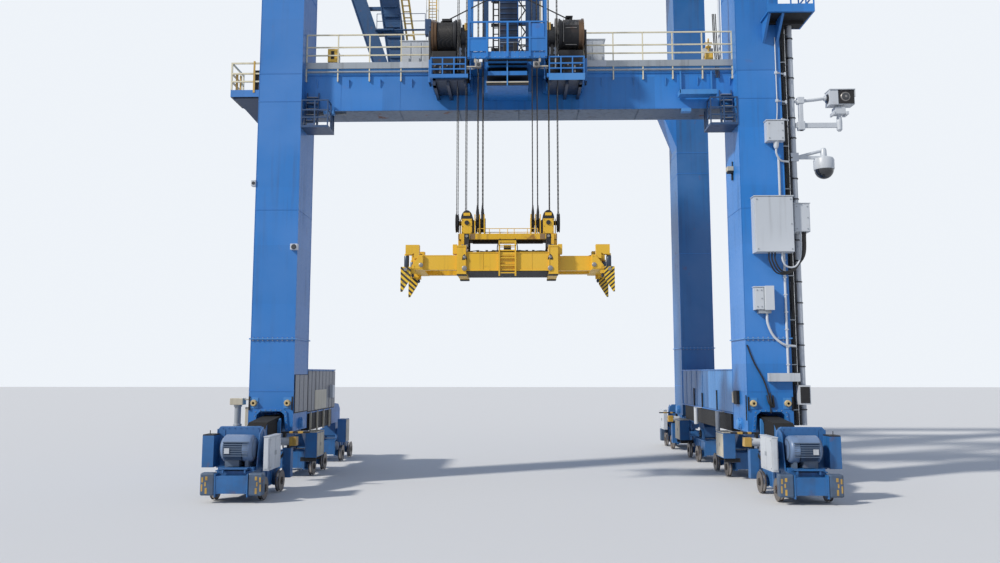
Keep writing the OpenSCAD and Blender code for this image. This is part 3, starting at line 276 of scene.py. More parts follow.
def weather_group():
    """Colour, Roughness and Height of aged paint, from noise on the object's own coordinates."""
    group = bpy.data.node_groups.new("weathered_paint", "ShaderNodeTree")
    for name, kind, value in (("Paint", "NodeSocketColor", (0.5, 0.5, 0.5, 1)),
                              ("Dirt", "NodeSocketColor", (0.1, 0.09, 0.07, 1)), ("Fade", "NodeSocketFloat", 0.2),
                              ("Streaks", "NodeSocketFloat", 0.3), ("Rust", "NodeSocketFloat", 0.2),
                              ("Plates", "NodeSocketFloat", 0.1), ("Gloss", "NodeSocketFloat", 0.5)):
        group.interface.new_socket(name, in_out="INPUT", socket_type=kind).default_value = value
    for name, kind in (("Colour", "NodeSocketColor"), ("Roughness", "NodeSocketFloat"),
                       ("Height", "NodeSocketFloat")):
        group.interface.new_socket(name, in_out="OUTPUT", socket_type=kind)
    given = group.nodes.new("NodeGroupInput").outputs
    place = group.nodes.new("ShaderNodeTexCoord").outputs["Object"]

    def noise(scale, detail, stretch=(1, 1, 1)):
        spot = wired(group, "ShaderNodeMapping", Vector=place, Scale=stretch).outputs[0]
        return wired(group, "ShaderNodeTexNoise", Vector=spot, Scale=scale, Detail=detail).outputs[0]

    snapped = wired(group, "ShaderNodeVectorMath", {"operation": "SNAP"}, i0=place, i1=(2.9, 40.0, 2.43)).outputs[0]
    plate_tone = wired(group, "ShaderNodeTexWhiteNoise", Vector=snapped).outputs[0]
    wide, fine, run = noise(0.33, 4), noise(9.0, 6), noise(5.0, 4, (1.0, 1.0, 0.055))
    spots, low_dirt = noise(1.7, 9), noise(2.2, 6)
    height = wired(group, "ShaderNodeSeparateXYZ", i0=place).outputs[2]
    pale = wired(group, "ShaderNodeHueSaturation", Saturation=0.72, Value=1.3, Color=given["Paint"]).outputs[0]
    colour = mixed(group, math(group, "MULTIPLY", ramp(group, wide, 0.36, 0.7), given["Fade"]), given["Paint"], pale)
    tone = math(group, "MULTIPLY", math(group, "SUBTRACT", plate_tone, 0.5), given["Plates"])
    colour = wired(group, "ShaderNodeHueSaturation", Value=math(group, "ADD", tone, 1.0), Color=colour).outputs[0]
    streak = math(group, "MULTIPLY",
                  math(group, "MULTIPLY", ramp(group, run, 0.5, 0.78), ramp(group, wide, 0.62, 0.3)),
                  given["Streaks"])
    colour = mixed(group, streak, colour, given["Dirt"])
    near_ground = math(group, "MULTIPLY", ramp(group, height, 3.2, 0.2, 0.0, 0.55), ramp(group, low_dirt, 0.38, 0.66))
    colour = mixed(group, math(group, "MULTIPLY", near_ground, given["Streaks"]), colour, given["Dirt"])
    spot = math(group, "MULTIPLY", ramp(group, spots, 0.66, 0.72), given["Rust"])
    colour = mixed(group, spot, colour, (0.17, 0.06, 0.022, 1))
    rough = math(group, "ADD", given["Gloss"], math(group, "MULTIPLY", math(group, "ADD", streak, spot), 0.35))
    rough = math(group, "ADD", rough, ramp(group, fine, 0.3, 0.7, -0.05, 0.07))
    out = group.nodes.new("NodeGroupOutput").inputs
    group.links.new(colour, out["Colour"])
    group.links.new(rough, out["Roughness"])
    group.links.new(math(group, "SUBTRACT", math(group, "MULTIPLY", fine, 0.3), math(group, "MULTIPLY", spot, 0.6)),
                    out["Height"])
    return group


weather = weather_group()
print("weather group has", len(weather.nodes), "nodes")

# %% Painted finishes
FINISHES = {}


def blank_material(name, slot):
    """A new material with its surface shader, and the record's slot it stands for."""
    material = bpy.data.materials.new(name)
    material.use_nodes = True
    material["slot"] = slot
    FINISHES[name] = material
    return material, material.node_tree, material.node_tree.nodes["Principled BSDF"]


def painted(name, slot, paint, fade=0.35, streaks=0.35, rust=0.15, plates=0.0, gloss=0.42, coat=0.0,
            metallic=0.0, bump=0.12, dirt=(0.045, 0.035, 0.026)):
    """A painted metal finish: the weather group feeds colour, roughness and a shallow bump."""
    material, tree, shader = blank_material(name, slot)
    aged = wired(tree, "ShaderNodeGroup", {"node_tree": weather}, Paint=(*paint, 1), Dirt=(*dirt, 1), Fade=fade,
                 Streaks=streaks, Rust=rust, Plates=plates, Gloss=gloss)
    tree.links.new(aged.outputs["Colour"], shader.inputs["Base Color"])
    tree.links.new(aged.outputs["Roughness"], shader.inputs["Roughness"])
    dent = wired(tree, "ShaderNodeBump", Strength=bump, Distance=0.01, Height=aged.outputs["Height"])
    tree.links.new(dent.outputs[0], shader.inputs["Normal"])
    shader.inputs["Metallic"].default_value = metallic
    shader.inputs["Coat Weight"].default_value = coat
    return material


blue = painted("blue_paint", "steel_blue", (0.012, 0.165, 0.49), fade=0.2, streaks=0.35, rust=0.12, plates=0.2,
               gloss=0.46, coat=0.08)
# A darker copy of the blue: painted shade, as on the rear leg, together with heavier streaks and rust.
blue_shade_and_wear = painted("shaded_and_worn_blue_paint", "steel_blue", (0.013, 0.12, 0.33), fade=0.3, streaks=0.6, rust=0.3)
# A much darker copy of the blue for the leaning braces: painted shade on their undersides.
brace_shade_paint = painted("shaded_brace_blue_paint", "steel_blue", (0.022, 0.078, 0.18), fade=0.3, streaks=0.6, rust=0.3)
blue_flat = painted("blue_panel_paint", "steel_blue", (0.014, 0.17, 0.52), fade=0.2, streaks=0.25)
blue_pale = painted("blue_flange_paint", "steel_blue", (0.045, 0.22, 0.53), fade=0.2, streaks=0.4)
# A dark copy of the blue: painted shade on the parts that stand in shade.
blue_shaded = painted("shaded_blue_paint", "steel_blue", (0.016, 0.055, 0.14), fade=0.2, streaks=0.6, rust=0.25)
# Near-black blue: painted shade on the tower column, under the baskets and under the left leg's platform.
navy_shade = painted("shaded_navy_paint", "steel_blue", (0.006, 0.02, 0.055), fade=0.15, streaks=0.4)
white_plate = painted("white_flange_paint", "cabinet_grey", (0.42, 0.48, 0.55), streaks=0.4)
yellow = painted("spreader_yellow_paint", "spreader_yellow", (0.72, 0.42, 0.015), fade=0.1, streaks=0.85, rust=0.7,
                 dirt=(0.1, 0.055, 0.02))
cream = painted("handrail_paint", "rail_cream", (0.66, 0.6, 0.42), streaks=0.5, rust=0.3)
cabinet = painted("cabinet_paint", "cabinet_grey", (0.5, 0.53, 0.56), streaks=0.3, rust=0.1, gloss=0.35)
beige = painted("beige_door_paint", "cabinet_grey", (0.5, 0.45, 0.34), streaks=0.5, rust=0.3)
grey = painted("walkway_grey", "deck_grey", (0.3, 0.33, 0.36), streaks=0.5, rust=0.2, metallic=0.4)
motor_paint = painted("motor_paint", "motor_blue", (0.1, 0.145, 0.21), streaks=0.5, rust=0.2)
safety = painted("safety_yellow_paint", "safety_yellow", (0.74, 0.46, 0.06), streaks=0.5, rust=0.4)
dark = painted("greased_steel", "dark_steel", (0.028, 0.029, 0.032), fade=0.1, streaks=0.2, rust=0.35, metallic=0.5,
               gloss=0.5)
black = painted("black_cover_paint", "dark_steel", (0.009, 0.009, 0.011), fade=0.1, streaks=0.1, rust=0.05, gloss=0.7)
# Flat black with no fading or rust: painted shadow, for hollows that stand in shade.
shade_black = painted("painted_shadow_black", "dark_steel", (0.002, 0.002, 0.0025), fade=0.0, streaks=0.1, rust=0.0,
                      gloss=0.9)
wheel_steel = painted("wheel_steel", "wheel_steel", (0.075, 0.062, 0.055), fade=0.4, streaks=0.3, rust=0.9,
                      metallic=0.5, gloss=0.5)
bright = painted("bright_steel", "wheel_steel", (0.45, 0.42, 0.4), fade=0.2, streaks=0.1, rust=0.3, metallic=0.9,
                 gloss=0.3)
motor_case = painted("casing_paint", "cabinet_grey", (0.17, 0.18, 0.21), streaks=0.6, rust=0.3)
hood_paint = painted("motor_hood_paint", "motor_blue", (0.13, 0.2, 0.33), fade=0.3, streaks=0.3, gloss=0.35)
fender_paint = painted("fender_paint", "steel_blue", (0.06, 0.11, 0.19), streaks=0.9, rust=0.8)
amber_paint = painted("amber_paint", "safety_yellow", (0.55, 0.33, 0.05), streaks=0.9, rust=0.9)
steel_pin = painted("steel_pins", "dark_steel", (0.24, 0.23, 0.22), streaks=0.4, rust=0.4, metallic=0.6, gloss=0.4)
cylinder_paint = painted("cylinder_paint", "dark_steel", (0.03, 0.045, 0.07), fade=0.2, streaks=0.3, metallic=0.4,
                         gloss=0.3)
bronze = painted("bronze_rim", "wheel_steel", (0.13, 0.075, 0.04), fade=0.4, streaks=0.3, rust=0.5, metallic=0.7,
                 gloss=0.32)
rim_steel = painted("worn_rims", "wheel_steel", (0.2, 0.175, 0.155), streaks=0.3, rust=0.6, metallic=0.6, gloss=0.45)
grime = painted("grimy_patches", "spreader_yellow", (0.22, 0.13, 0.05), streaks=0.6, rust=0.9)
print(len(FINISHES), "painted finishes")

# %% [markdown]
# ## Finishes that are not plain paint
# Hazard stripes are bands across a slanted coordinate; a laid rope is bright on the crowns of
# its strands; lamps and lenses are glassy. All read Object coordinates, so they stay put.

# %% Stripes, rope, lamp and lens
def striped(name, slot, direction, pitch, light=(0.78, 0.5, 0.03), ink=(0.02, 0.02, 0.02)):
    """Two-colour bands: the fraction of (position . direction) / pitch, cut at one half."""
    material, tree, shader = blank_material(name, slot)
    place = tree.nodes.new("ShaderNodeTexCoord").outputs["Object"]
    along = wired(tree, "ShaderNodeVectorMath", {"operation": "DOT_PRODUCT"}, i0=place, i1=direction).outputs["Value"]
    band = math(tree, "GREATER_THAN", math(tree, "FRACT", math(tree, "DIVIDE", along, pitch)), 0.5)
    wear = wired(tree, "ShaderNodeTexNoise", Vector=place, Scale=6.0, Detail=8.0).outputs[0]
    colour = mixed(tree, band, (*ink, 1), (*light, 1))
    colour = mixed(tree, ramp(tree, wear, 0.58, 0.72, 0.0, 0.7), colour, (0.16, 0.11, 0.07, 1))
    tree.links.new(colour, shader.inputs["Base Color"])
    tree.links.new(ramp(tree, wear, 0.3, 0.8, 0.4, 0.8), shader.inputs["Roughness"])
    return material


def laid_rope():
    """Wire rope: dark grease between strands that wind round, bright along their crowns."""
    material, tree, shader = blank_material("wire_rope", "wire_rope")
    place = tree.nodes.new("ShaderNodeTexCoord").outputs["Object"]
    wave = wired(tree, "ShaderNodeTexWave", {"bands_direction": "DIAGONAL"}, Vector=place, Scale=14.0, Distortion=0.4)
    crown = ramp(tree, wave.outputs[1], 0.45, 0.95)
    tree.links.new(mixed(tree, crown, (0.01, 0.01, 0.011, 1), (0.085, 0.08, 0.075, 1)), shader.inputs["Base Color"])
    tree.links.new(ramp(tree, crown, 0.0, 1.0, 0.75, 0.45), shader.inputs["Roughness"])
    shader.inputs["Metallic"].default_value = 0.4
    return material


def glassy(name, slot, colour, rough=0.12, coat=0.6):
    """A moulded lens: one deep colour that thins in places, under a clear coat."""
    material, tree, shader = blank_material(name, slot)
    place = tree.nodes.new("ShaderNodeTexCoord").outputs["Object"]
    ribs = wired(tree, "ShaderNodeTexWave", Vector=place, Scale=30.0).outputs[1]
    lighter = tuple(min(1.0, c * 1.5 + 0.02) for c in colour)
    tree.links.new(mixed(tree, ribs, (*colour, 1), (*lighter, 1)), shader.inputs["Base Color"])
    shader.inputs["Roughness"].default_value = rough
    shader.inputs["Coat Weight"].default_value = coat
    return material


stripes_left = striped("left_hazard_stripes", "striped_paint", (0.66, 0.0, 0.75), 0.16)
stripes_right = striped("right_hazard_stripes", "striped_paint", (-0.66, 0.0, 0.75), 0.125)
rope_steel = laid_rope()
amber = glassy("amber_lens", "safety_yellow", (0.42, 0.32, 0.15))
lens = glassy("dark_lens", "cabinet_grey", (0.01, 0.012, 0.016), rough=0.06)
rubber = painted("black_rubber", "dark_steel", (0.012, 0.012, 0.013), fade=0.15, streaks=0.3, rust=0.0, gloss=0.7)
print(len(FINISHES), "finishes in all")

# %% [markdown]
# ## Every CAD node takes its finish
# Most of the frame is plates of one blue paint. A table of node names and finishes is easier
# to check against the photograph than painting node by node.

# %% Paint the CAD nodes
NODE_FINISH = {
    blue: "front_left_leg front_right_leg left_sill_beam right_sill_beam portal_girder rear_girder "
          "front_top_girder rear_top_girder top_side_beams hoist_tower head_frame hoist_platform platform_rails "
          "left_leg_platform right_leg_platform",
    # The braces take their darker blue as painted shade.
    brace_shade_paint: "leaning_braces",
    # The rear leg takes the darker blue as painted shade.
    blue_shade_and_wear: "rear_right_leg bogies_front_left bogies_front_right bogies_rear_right bogie_rear_left buffers",
    # The corner stairs take the dark blue as painted shade.
    blue_shaded: "corner_platforms",
    yellow: "head_block spreader_frame spreader_ladder left_arm right_arm",
    stripes_left: "left_flippers",
    stripes_right: "right_flippers",
    rope_steel: "drum_ropes hoist_ropes",
    dark: "head_sheaves block_sheaves left_drum right_drum hoist_drives",
    wheel_steel: " ".join(f"wheels_{k}" for k in range(1, 9)),
    cream: "walkway_rails",
    cabinet: "walkway_cabinets bogie_cabinets leg_cabinets box_camera dome_camera cable_mast",
    motor_paint: "travel_motors",
    grey: "girder_walkway",
    safety: "brace_ladders",
    amber: "leg_lamps",
}
for finish, names in NODE_FINISH.items():
    for name in names.split():
        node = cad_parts[name]
        node.data.materials.clear()
        node.data.materials.append(finish)
print(sum(len(names.split()) for names in NODE_FINISH.values()), "nodes painted")

# %% [markdown]
# ## Camera, floor and light
# The photograph was taken from standing height on a deck in front of the crane, a little to
# the right of the spreader, with a wide lens tilted up. A broad sun from the left and front
# lights the legs' faces; a pale world fills the rest, so colours render as they are written.

# %% Camera
camera = bpy.data.objects.new("camera", bpy.data.cameras.new("camera"))
bpy.context.scene.collection.objects.link(camera)
camera.location = (0.0, -41.05, 4.5)
camera.rotation_euler = np.radians((96.3, 0.0, 1.3))
camera.data.lens, camera.data.sensor_width = 29.7, 36.0
camera.data.clip_end = 2000.0
bpy.context.scene.camera = camera
print("camera", camera.data.lens, "mm")

# %% Floor and lights
FLOOR_CELLS, FLOOR_HALF, FLOOR_Z = 40, 220, -0.02
row = FLOOR_CELLS + 1
grid = np.linspace(-1, 1, row) * FLOOR_HALF
gx, gy = np.meshgrid(grid, grid)
k = np.arange(FLOOR_CELLS)[:, None] * row + np.arange(FLOOR_CELLS)[None]
floor_mesh = bpy.data.meshes.new("floor")
floor_mesh.from_pydata(np.stack([gx, gy, np.full_like(gx, FLOOR_Z)], -1).reshape(-1, 3).tolist(), [],
                       np.stack([k, k + 1, k + row + 1, k + row], -1).reshape(-1, 4).tolist())
floor = bpy.data.objects.new("floor", floor_mesh)
bpy.context.scene.collection.objects.link(floor)
floor_paint = bpy.data.materials.new("pale_floor")
floor_paint.use_nodes = True
floor_inputs = floor_paint.node_tree.nodes["Principled BSDF"].inputs
floor_inputs["Base Color"].default_value = (0.62, 0.62, 0.61, 1)
floor_inputs["Roughness"].default_value = 0.9
floor_mesh.materials.append(floor_paint)
floor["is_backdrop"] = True

sun = bpy.data.objects.new("sun", bpy.data.lights.new("sun", "SUN"))
sun.data.energy, sun.data.angle, sun.data.color = 3.5, np.radians(4), (1.0, 0.96, 0.9)
sun.rotation_euler = np.radians((54, 0, -60))
bpy.context.scene.collection.objects.link(sun)

world = bpy.data.worlds.new("studio")
world.use_nodes = True
bpy.context.scene.world = world
tree = world.node_tree
backdrop = wired(tree, "ShaderNodeBackground", Color=(0.86, 0.9, 0.95, 1), Strength=1.0)
fill = wired(tree, "ShaderNodeBackground", Color=(0.62, 0.74, 1.0, 1), Strength=0.5)
path = tree.nodes.new("ShaderNodeLightPath")
seen = math(tree, "MAXIMUM", path.outputs["Is Camera Ray"], path.outputs["Is Glossy Ray"])
both = wired(tree, "ShaderNodeMixShader", i0=seen, i1=fill.outputs[0], i2=backdrop.outputs[0])
tree.links.new(both.outputs[0], tree.nodes["World Output"].inputs[0])
bpy.context.scene.view_settings.view_transform = "Standard"
print("floor, sun and world ready")

# %% [markdown]
# ## Legs and sill beams
# The legs are box columns of welded plate. Flanges stand out where the lengths were joined,
# a fine weld runs down each corner, and each foot's arch is framed and pinned to its bogies.

# %% Leg flanges, corner welds and foot hardware
TRACKS, LEG_Y = (-10.0, 10.0), 6.55
LEGS = [(TRACKS[0], -LEG_Y), (TRACKS[1], -LEG_Y), (TRACKS[1], LEG_Y)]
LEG_W, LEG_D, FOOT_Z, LEG_TOP = 1.8, 2.2, 2.15, 28.0
FRONT_Y = -7.65
SEAM_Z, PIN_Z = (3.74, 11.19, 15.81, 17.02, 20.9, 24.4), 2.42


def collar(x, y, z, height, proud, w=LEG_W, d=LEG_D):
    """A flat band round a box column: four strips that stand proud of its faces."""
    a, b = w / 2, d / 2
    return boxes([x - a - proud, y - b - proud, z, x + a + proud, y - b, z + height],
                 [x - a - proud, y + b, z, x + a + proud, y + b + proud, z + height],
                 [x - a - proud, y - b, z, x - a, y + b, z + height],
                 [x + a, y - b, z, x + a + proud, y + b, z + height])


seams, flanges, flange_bolts, corner_welds, pin_caps = [], [], [], [], []
for x, y in LEGS:
    for z in SEAM_Z:
        seams.append(collar(x, y, z, 0.035, 0.012))
    flanges += [collar(x, y, 5.84, 0.05, 0.06), collar(x, y, 27.9, 0.1, 0.05)]
    for side in (-1, 1):
        row = np.linspace(-LEG_W / 2 + 0.1, LEG_W / 2 - 0.1, 9)
        for step in (5.81, 5.89):
            flange_bolts.append(bolts(0.022, 0.03, (0, 0, np.sign(step - 5.85)),
                                      *[(x + r, y + side * (LEG_D / 2 + 0.035), step) for r in row]))
        corner_welds.append(boxes(*[[x + side * (LEG_W / 2 - 0.012), y + end * (LEG_D / 2 - 0.012), FOOT_Z,
                                     x + side * (LEG_W / 2 + 0.008), y + end * (LEG_D / 2 + 0.008), LEG_TOP]
                                    for end in (-1, 1)]))
        cap = [(0, 0.001), (0, 0.24), (0.05, 0.24), (0.06, 0.22), (0.06, 0.2), (0.13, 0.19), (0.15, 0.16),
               (0.15, 0.001)]
        pin_caps += [turned(facing(cap, side), (x + side * LEG_W / 2, y, PIN_Z)),
                     bolt_circle(0.02, 0.05, side, (x + side * (LEG_W / 2 + 0.05), y, PIN_Z), 0.215, 8)]
piece("leg_seams", blue, *seams)
piece("leg_flanges", blue_pale, *flanges)
piece("leg_flange_bolts", grey, *flange_bolts)
piece("leg_corner_welds", blue, *corner_welds)
piece("foot_pin_caps", blue_pale, *pin_caps, smooth=True)
print(len(seams), "seams and", len(pin_caps) // 2, "pin caps")

# %% Foot arch frames and side lamps
arch_bolts, lamp_rims, lamp_bars, lamp_plates = [], [], [], []
for x, y in LEGS:
    for side in (-1, 1):
        face = y + side * (LEG_D / 2 + 0.045)
        arch_bolts.append(bolts(0.018, 0.025, (0, side, 0),
                                *[(x + s * (0.69 - 0.08 * t), face, FOOT_Z + 0.1 + 0.68 * t) for s in (-1, 1)
                                  for t in np.linspace(0, 1, 5)],
                                *[(x + t, face, 3.0) for t in np.linspace(-0.42, 0.42, 5)]))
for x in TRACKS:
    for dx in (-0.68, 0.68):
        ring = [(-0.05, 0.001), (-0.05, 0.05), (-0.03, 0.1), (0.02, 0.135), (0.1, 0.135), (0.1, 0.1), (0.1, 0.001)]
        lamp_rims.append(turned(ring, (x + dx, FRONT_Y - 0.1, 3.28), axis="y"))
        lamp_plates.append(boxes([x + dx - 0.17, FRONT_Y - 0.02, 3.06, x + dx + 0.17, FRONT_Y, 3.5]))
        edge = x + dx + np.sign(dx) * 0.19
        lamp_bars.append(boxes([edge - 0.025, FRONT_Y - 0.06, 3.0, edge + 0.025, FRONT_Y, 3.54]))
piece("foot_arch_bolts", grey, *arch_bolts)
piece("lamp_rims", amber, *lamp_rims, smooth=True)
piece("lamp_guards", black, *lamp_bars)
piece("lamp_plates", blue_pale, *lamp_plates, bevel=0.005)
print("feet dressed")

# %% Sill beam stiffeners, panels and casings
sill_ribs = []
for x, y0, y1 in ((TRACKS[0], -5.45, -0.1), (TRACKS[1], -5.45, 5.45)):
    for side in (-1, 1):
        face = x + side * 0.87
        for y in np.arange(y0 + 0.9, y1 - 0.3, 1.32):
            sill_ribs.append(boxes([face, y, 2.78, face + side * 0.02, y + 0.03, 4.62]))
        sill_ribs.append(boxes([face, y0, 4.6, face + side * 0.05, y1, 4.65],
                               [face, y0, 2.75, face + side * 0.05, y1, 2.8]))
piece("sill_stiffeners", blue, *sill_ribs)
piece("sill_panels", beige, boxes([-9.13, -4.1, 2.86, -9.09, -1.9, 3.72]), bevel=0.01)
piece("sill_plating", blue_shade_and_wear,
      boxes([9.11, -0.9, 2.82, 9.13, 5.2, 4.58],
            *[[9.095, y, 2.82, 9.11, y + 0.04, 4.58] for y in np.arange(0.4, 5.2, 1.3)]))
# A paler blue plate on the right sill's inner face: painted light, in the leg's shadow.
piece("sill_painted_light_panel", blue_pale, boxes([9.095, -5.42, 2.82, 9.105, -0.92, 4.58]))
casing = [[-9.125, y, 2.84, -9.1, y + 0.6, 4.56] for y in np.arange(-5.3, -0.6, 0.66)]
casing += [[-9.085, y, 2.9, -9.06, y + 0.6, 4.4] for y in (-7.5, -6.84, -6.18)]
piece("sill_casing", motor_case, boxes(*casing), bevel=0.006)
# Black sheets behind the casing panels: painted shade in the gaps between them.
piece("sill_casing_gap_shade", black,
      boxes([-9.13, -5.35, 2.8, -9.118, -0.15, 4.56], [-9.095, -7.55, 2.86, -9.075, -5.5, 4.42]))
piece("leg_low_boxes", beige, boxes([8.97, -5.95, 3.25, 9.095, -5.75, 3.7]),
      boxes(*[[-9.115, y, 1.95, -9.05, y + 0.09, 2.8] for y in (-4.9, -3.7, -2.5, -1.3)]))
piece("leg_low_bars", black, boxes([8.97, -6.5, 3.2, 9.095, -6.0, 3.75], [9.06, -7.56, 2.6, 9.095, -7.5, 3.6]),
      bevel=0.01)
piece("sill_cables", rubber, rods(0.035, [9.07, 2.3, 2.8, 9.07, 2.3, 3.7], [9.07, -2.65, 2.8, 9.07, -2.65, 3.7],
                                           [9.07, 0.4, 2.8, 9.07, 0.4, 3.5]), smooth=True)
piece("sill_boxes", cabinet, boxes([-9.13, -1.2, 3.3, -8.95, -0.8, 3.9]), bevel=0.015)
print(len(sill_ribs), "stiffener sets")

# %% [markdown]
# ## Girders, walkway and stairs
# Box girders show their butt welds as vertical lines. A cable tray and pipes run under the
# walkway; its posts stand on small brackets on the girder's web.

# %% Girder welds, brackets and pipes
GIRDER_Y, WELD_X, REAR_WELD_X = (-6.99, -5.49), np.arange(-7.6, 9, 2.54), np.arange(-7.9, 8.4, 2.7)
welds = [boxes(*[[x, GIRDER_Y[0] - 0.008, 15.64, x + 0.02, GIRDER_Y[0], 17.16] for x in WELD_X],
               *[[x, GIRDER_Y[1], 15.64, x + 0.02, GIRDER_Y[1] + 0.008, 17.16] for x in WELD_X],
               *[[x, GIRDER_Y[0], 15.592, x + 0.02, GIRDER_Y[1], 15.6] for x in WELD_X]),
         boxes(*[[x, 5.442, 19.54, x + 0.02, 5.45, 20.58] for x in REAR_WELD_X],
               *[[x, 6.95, 19.54, x + 0.02, 6.958, 20.58] for x in REAR_WELD_X])]
for y, faces in ((-LEG_Y, (-7.4, -5.7)), (LEG_Y, (5.7, 7.4))):
    for face, way in zip(faces, (-1, 1)):
        welds.append(boxes(*[[x, face, 28.02, x + 0.02, face + way * 0.008, 29.78]
                             for x in np.arange(-12.2, 12.3, 2.7)]))
piece("girder_welds", blue, *welds)
stays = []
for x in np.arange(-8.6, 9, 1.35):
    if abs(x + 0.43) > 3.3:
        stays.append(plate([(-7.08, 16.98), (-6.99, 16.98), (-6.99, 16.62), (-7.02, 16.62)], x, x + 0.02, "yz"))
piece("rail_brackets", blue_pale, *stays)
piece("girder_pipes", grey, rods(0.045, [-9.05, -7.06, 17.3, -3.66, -7.06, 17.3],
                                 [2.8, -7.06, 17.3, 9.05, -7.06, 17.3], [-9.05, -6.7, 15.54, -7.4, -6.7, 15.54]),
      smooth=True)
piece("girder_clips", blue_pale, boxes([-8.3, -7.1, 15.45, -7.85, -6.8, 15.6], [6.9, -7.1, 15.45, 7.3, -6.8, 15.6]),
      bevel=0.01)
print("girders dressed")

# %% Walkway: kick plates, gratings and tray
def grating(x0, x1, y0, y1, z, pitch=0.06):
    """Bars of an open floor, 12 mm wide and 20 mm high, set out along X."""
    return boxes(*[[x, y0, z, x + 0.012, y1, z + 0.02] for x in np.arange(x0, x1, pitch)])


piece("walkway_grating", grey, grating(-9.0, 9.05, -6.97, -6.21, 17.64))
# A grey-blue strip on the girder's underside: painted reflection of the pale ground.
piece("girder_underside_reflection", fender_paint, boxes([-9.09, -6.98, 15.592, 9.09, -5.5, 15.606]))
piece("walkway_cabinet_bases", cabinet,
      boxes([-5.05, -7.103, 17.45, -3.64, -7.094, 17.72], [2.78, -7.103, 17.45, 3.75, -7.094, 17.72]))
piece("walkway_kick_face", grey,
      boxes([-9.1, -7.095, 17.44, -3.63, -7.087, 17.71], [2.77, -7.095, 17.44, 9.1, -7.087, 17.71]))
piece("walkway_edge", blue_pale,
      boxes([-9.1, -7.04, 17.2, -3.63, -7.02, 17.46], [2.77, -7.04, 17.2, 9.1, -7.02, 17.46]))
post_x = [*np.linspace(-9.075, -3.675, 5), *np.linspace(2.795, 9.075, 6)]
joints = [(x, -7.055, 16.92 + h) for x in post_x for h in (2.02, 1.47, 1.11)]
piece("rail_joints", cream,
      joined([moved(turned([(-0.04, 0.001), (-0.035, 0.036), (0.035, 0.036), (0.04, 0.001)], (0, 0, 0), sides=10), *j)
              for j in joints]), smooth=True)
print(len(joints), "rail joints")

# %% Walkway cabinets, yellow devices and the right end's cables
def doors(x0, x1, y, z0, z1, count, way=-1):
    """Cabinet doors on a face at y: thin panels with a gap, each with a handle and louvres."""
    w = (x1 - x0) / count
    panels, trims = [], []
    for k in range(count):
        a, b = x0 + k * w + 0.03, x0 + (k + 1) * w - 0.03
        panels.append(boxes([a, y, z0 + 0.05, b, y + way * 0.025, z1 - 0.05]))
        trims.append(boxes([b - 0.09, y + way * 0.025, (z0 + z1) / 2 - 0.1, b - 0.06, y + way * 0.055,
                            (z0 + z1) / 2 + 0.1],
                           *[[a + 0.08, y + way * 0.025, z0 + 0.12 + 0.05 * i, b - 0.16, y + way * 0.032,
                              z0 + 0.14 + 0.05 * i] for i in range(5)]))
    return joined(panels), joined(trims)


door_sets = [doors(x0, x1, y, 17.25, 19.0, count, way) for x0, x1, y, count, way in (
    (-5.15, -3.78, -6.17, 3, -1), (2.75, 3.78, -6.17, 2, -1), (-5.15, -3.78, -5.53, 2, 1), (2.75, 3.78, -5.53, 2, 1))]
piece("walkway_doors", cabinet, *[d[0] for d in door_sets], bevel=0.006)
piece("walkway_door_trim", grey, *[d[1] for d in door_sets])
piece("walkway_cabinet_roofs", cabinet,
      boxes([-5.2, -6.2, 19.0, -3.73, -5.5, 19.05], [2.7, -6.2, 19.0, 3.83, -5.5, 19.05]), bevel=0.01)
left_device = boxes([-8.2, -6.95, 17.8, -7.78, -6.62, 18.38], [-8.12, -6.9, 17.66, -7.86, -6.66, 17.8])
right_device = [boxes([8.0, -6.9, 17.66, 8.32, -6.62, 18.1], [8.05, -6.85, 18.34, 8.27, -6.6, 18.42]),
                rods(0.035, [8.16, -6.8, 18.1, 8.16, -6.8, 18.75], [8.0, -6.8, 18.55, 8.32, -6.8, 18.55])]
piece("walkway_devices", safety, left_device, *right_device, bevel=0.008)
piece("walkway_device_window", black, boxes([-8.06, -6.96, 17.92, -7.92, -6.945, 18.28]), bevel=0.004)
drops = [tube([(x, -6.9, 19.8), (x + 0.02, -6.93, 18.6), (x + 0.05, -7.0, 17.6), (x + 0.04, -7.1, 16.9)], 0.022,
              smooth=24) for x in (8.34, 8.4, 8.47)]
piece("walkway_cables", rubber, *drops, smooth=True)
piece("walkway_post", cabinet, rods(0.06, [8.62, -6.9, 17.64, 8.62, -6.9, 27.98], sides=12), smooth=True)
piece("hanging_tray", blue_pale,
      boxes([6.75, -7.55, 16.05, 8.3, -7.05, 16.09], [6.75, -7.55, 16.09, 8.3, -7.52, 16.25],
            [6.75, -7.55, 16.09, 6.78, -7.05, 16.25], [6.85, -7.1, 16.09, 6.9, -7.04, 17.2],
            [8.15, -7.1, 16.09, 8.2, -7.04, 17.2]))
treads = [boxes([side * 8.98, -7.36 + k * 0.025, 14.835 + 0.26 * k, side * 8.54, -7.16 + k * 0.025, 14.85 + 0.26 * k])
          for side in (-1, 1) for k in range(6)]
piece("stair_treads", beige, *treads, bevel=0.004)
print("walkway dressed")

# %% [markdown]
# ## Leaning braces and their ladders
# The outer brace is a plain box with flanged edges, the inner one is ribbed. They are tied
# together, and a caged ladder climbs beside them; the cage is hoops on flat straps.

# %% Brace flanges and cage
BRACE_FOOT, BRACE_HEAD, BRACE_Z = np.array([-7.43, -6.77]), np.array([-9.95, -7.85]), (20.6, 28.0)


def brace_at(k, z):
    """The middle of brace k at height z, on the straight line from its foot to its head."""
    return BRACE_FOOT[k] + (BRACE_HEAD[k] - BRACE_FOOT[k]) * (z - BRACE_Z[0]) / (BRACE_Z[1] - BRACE_Z[0])


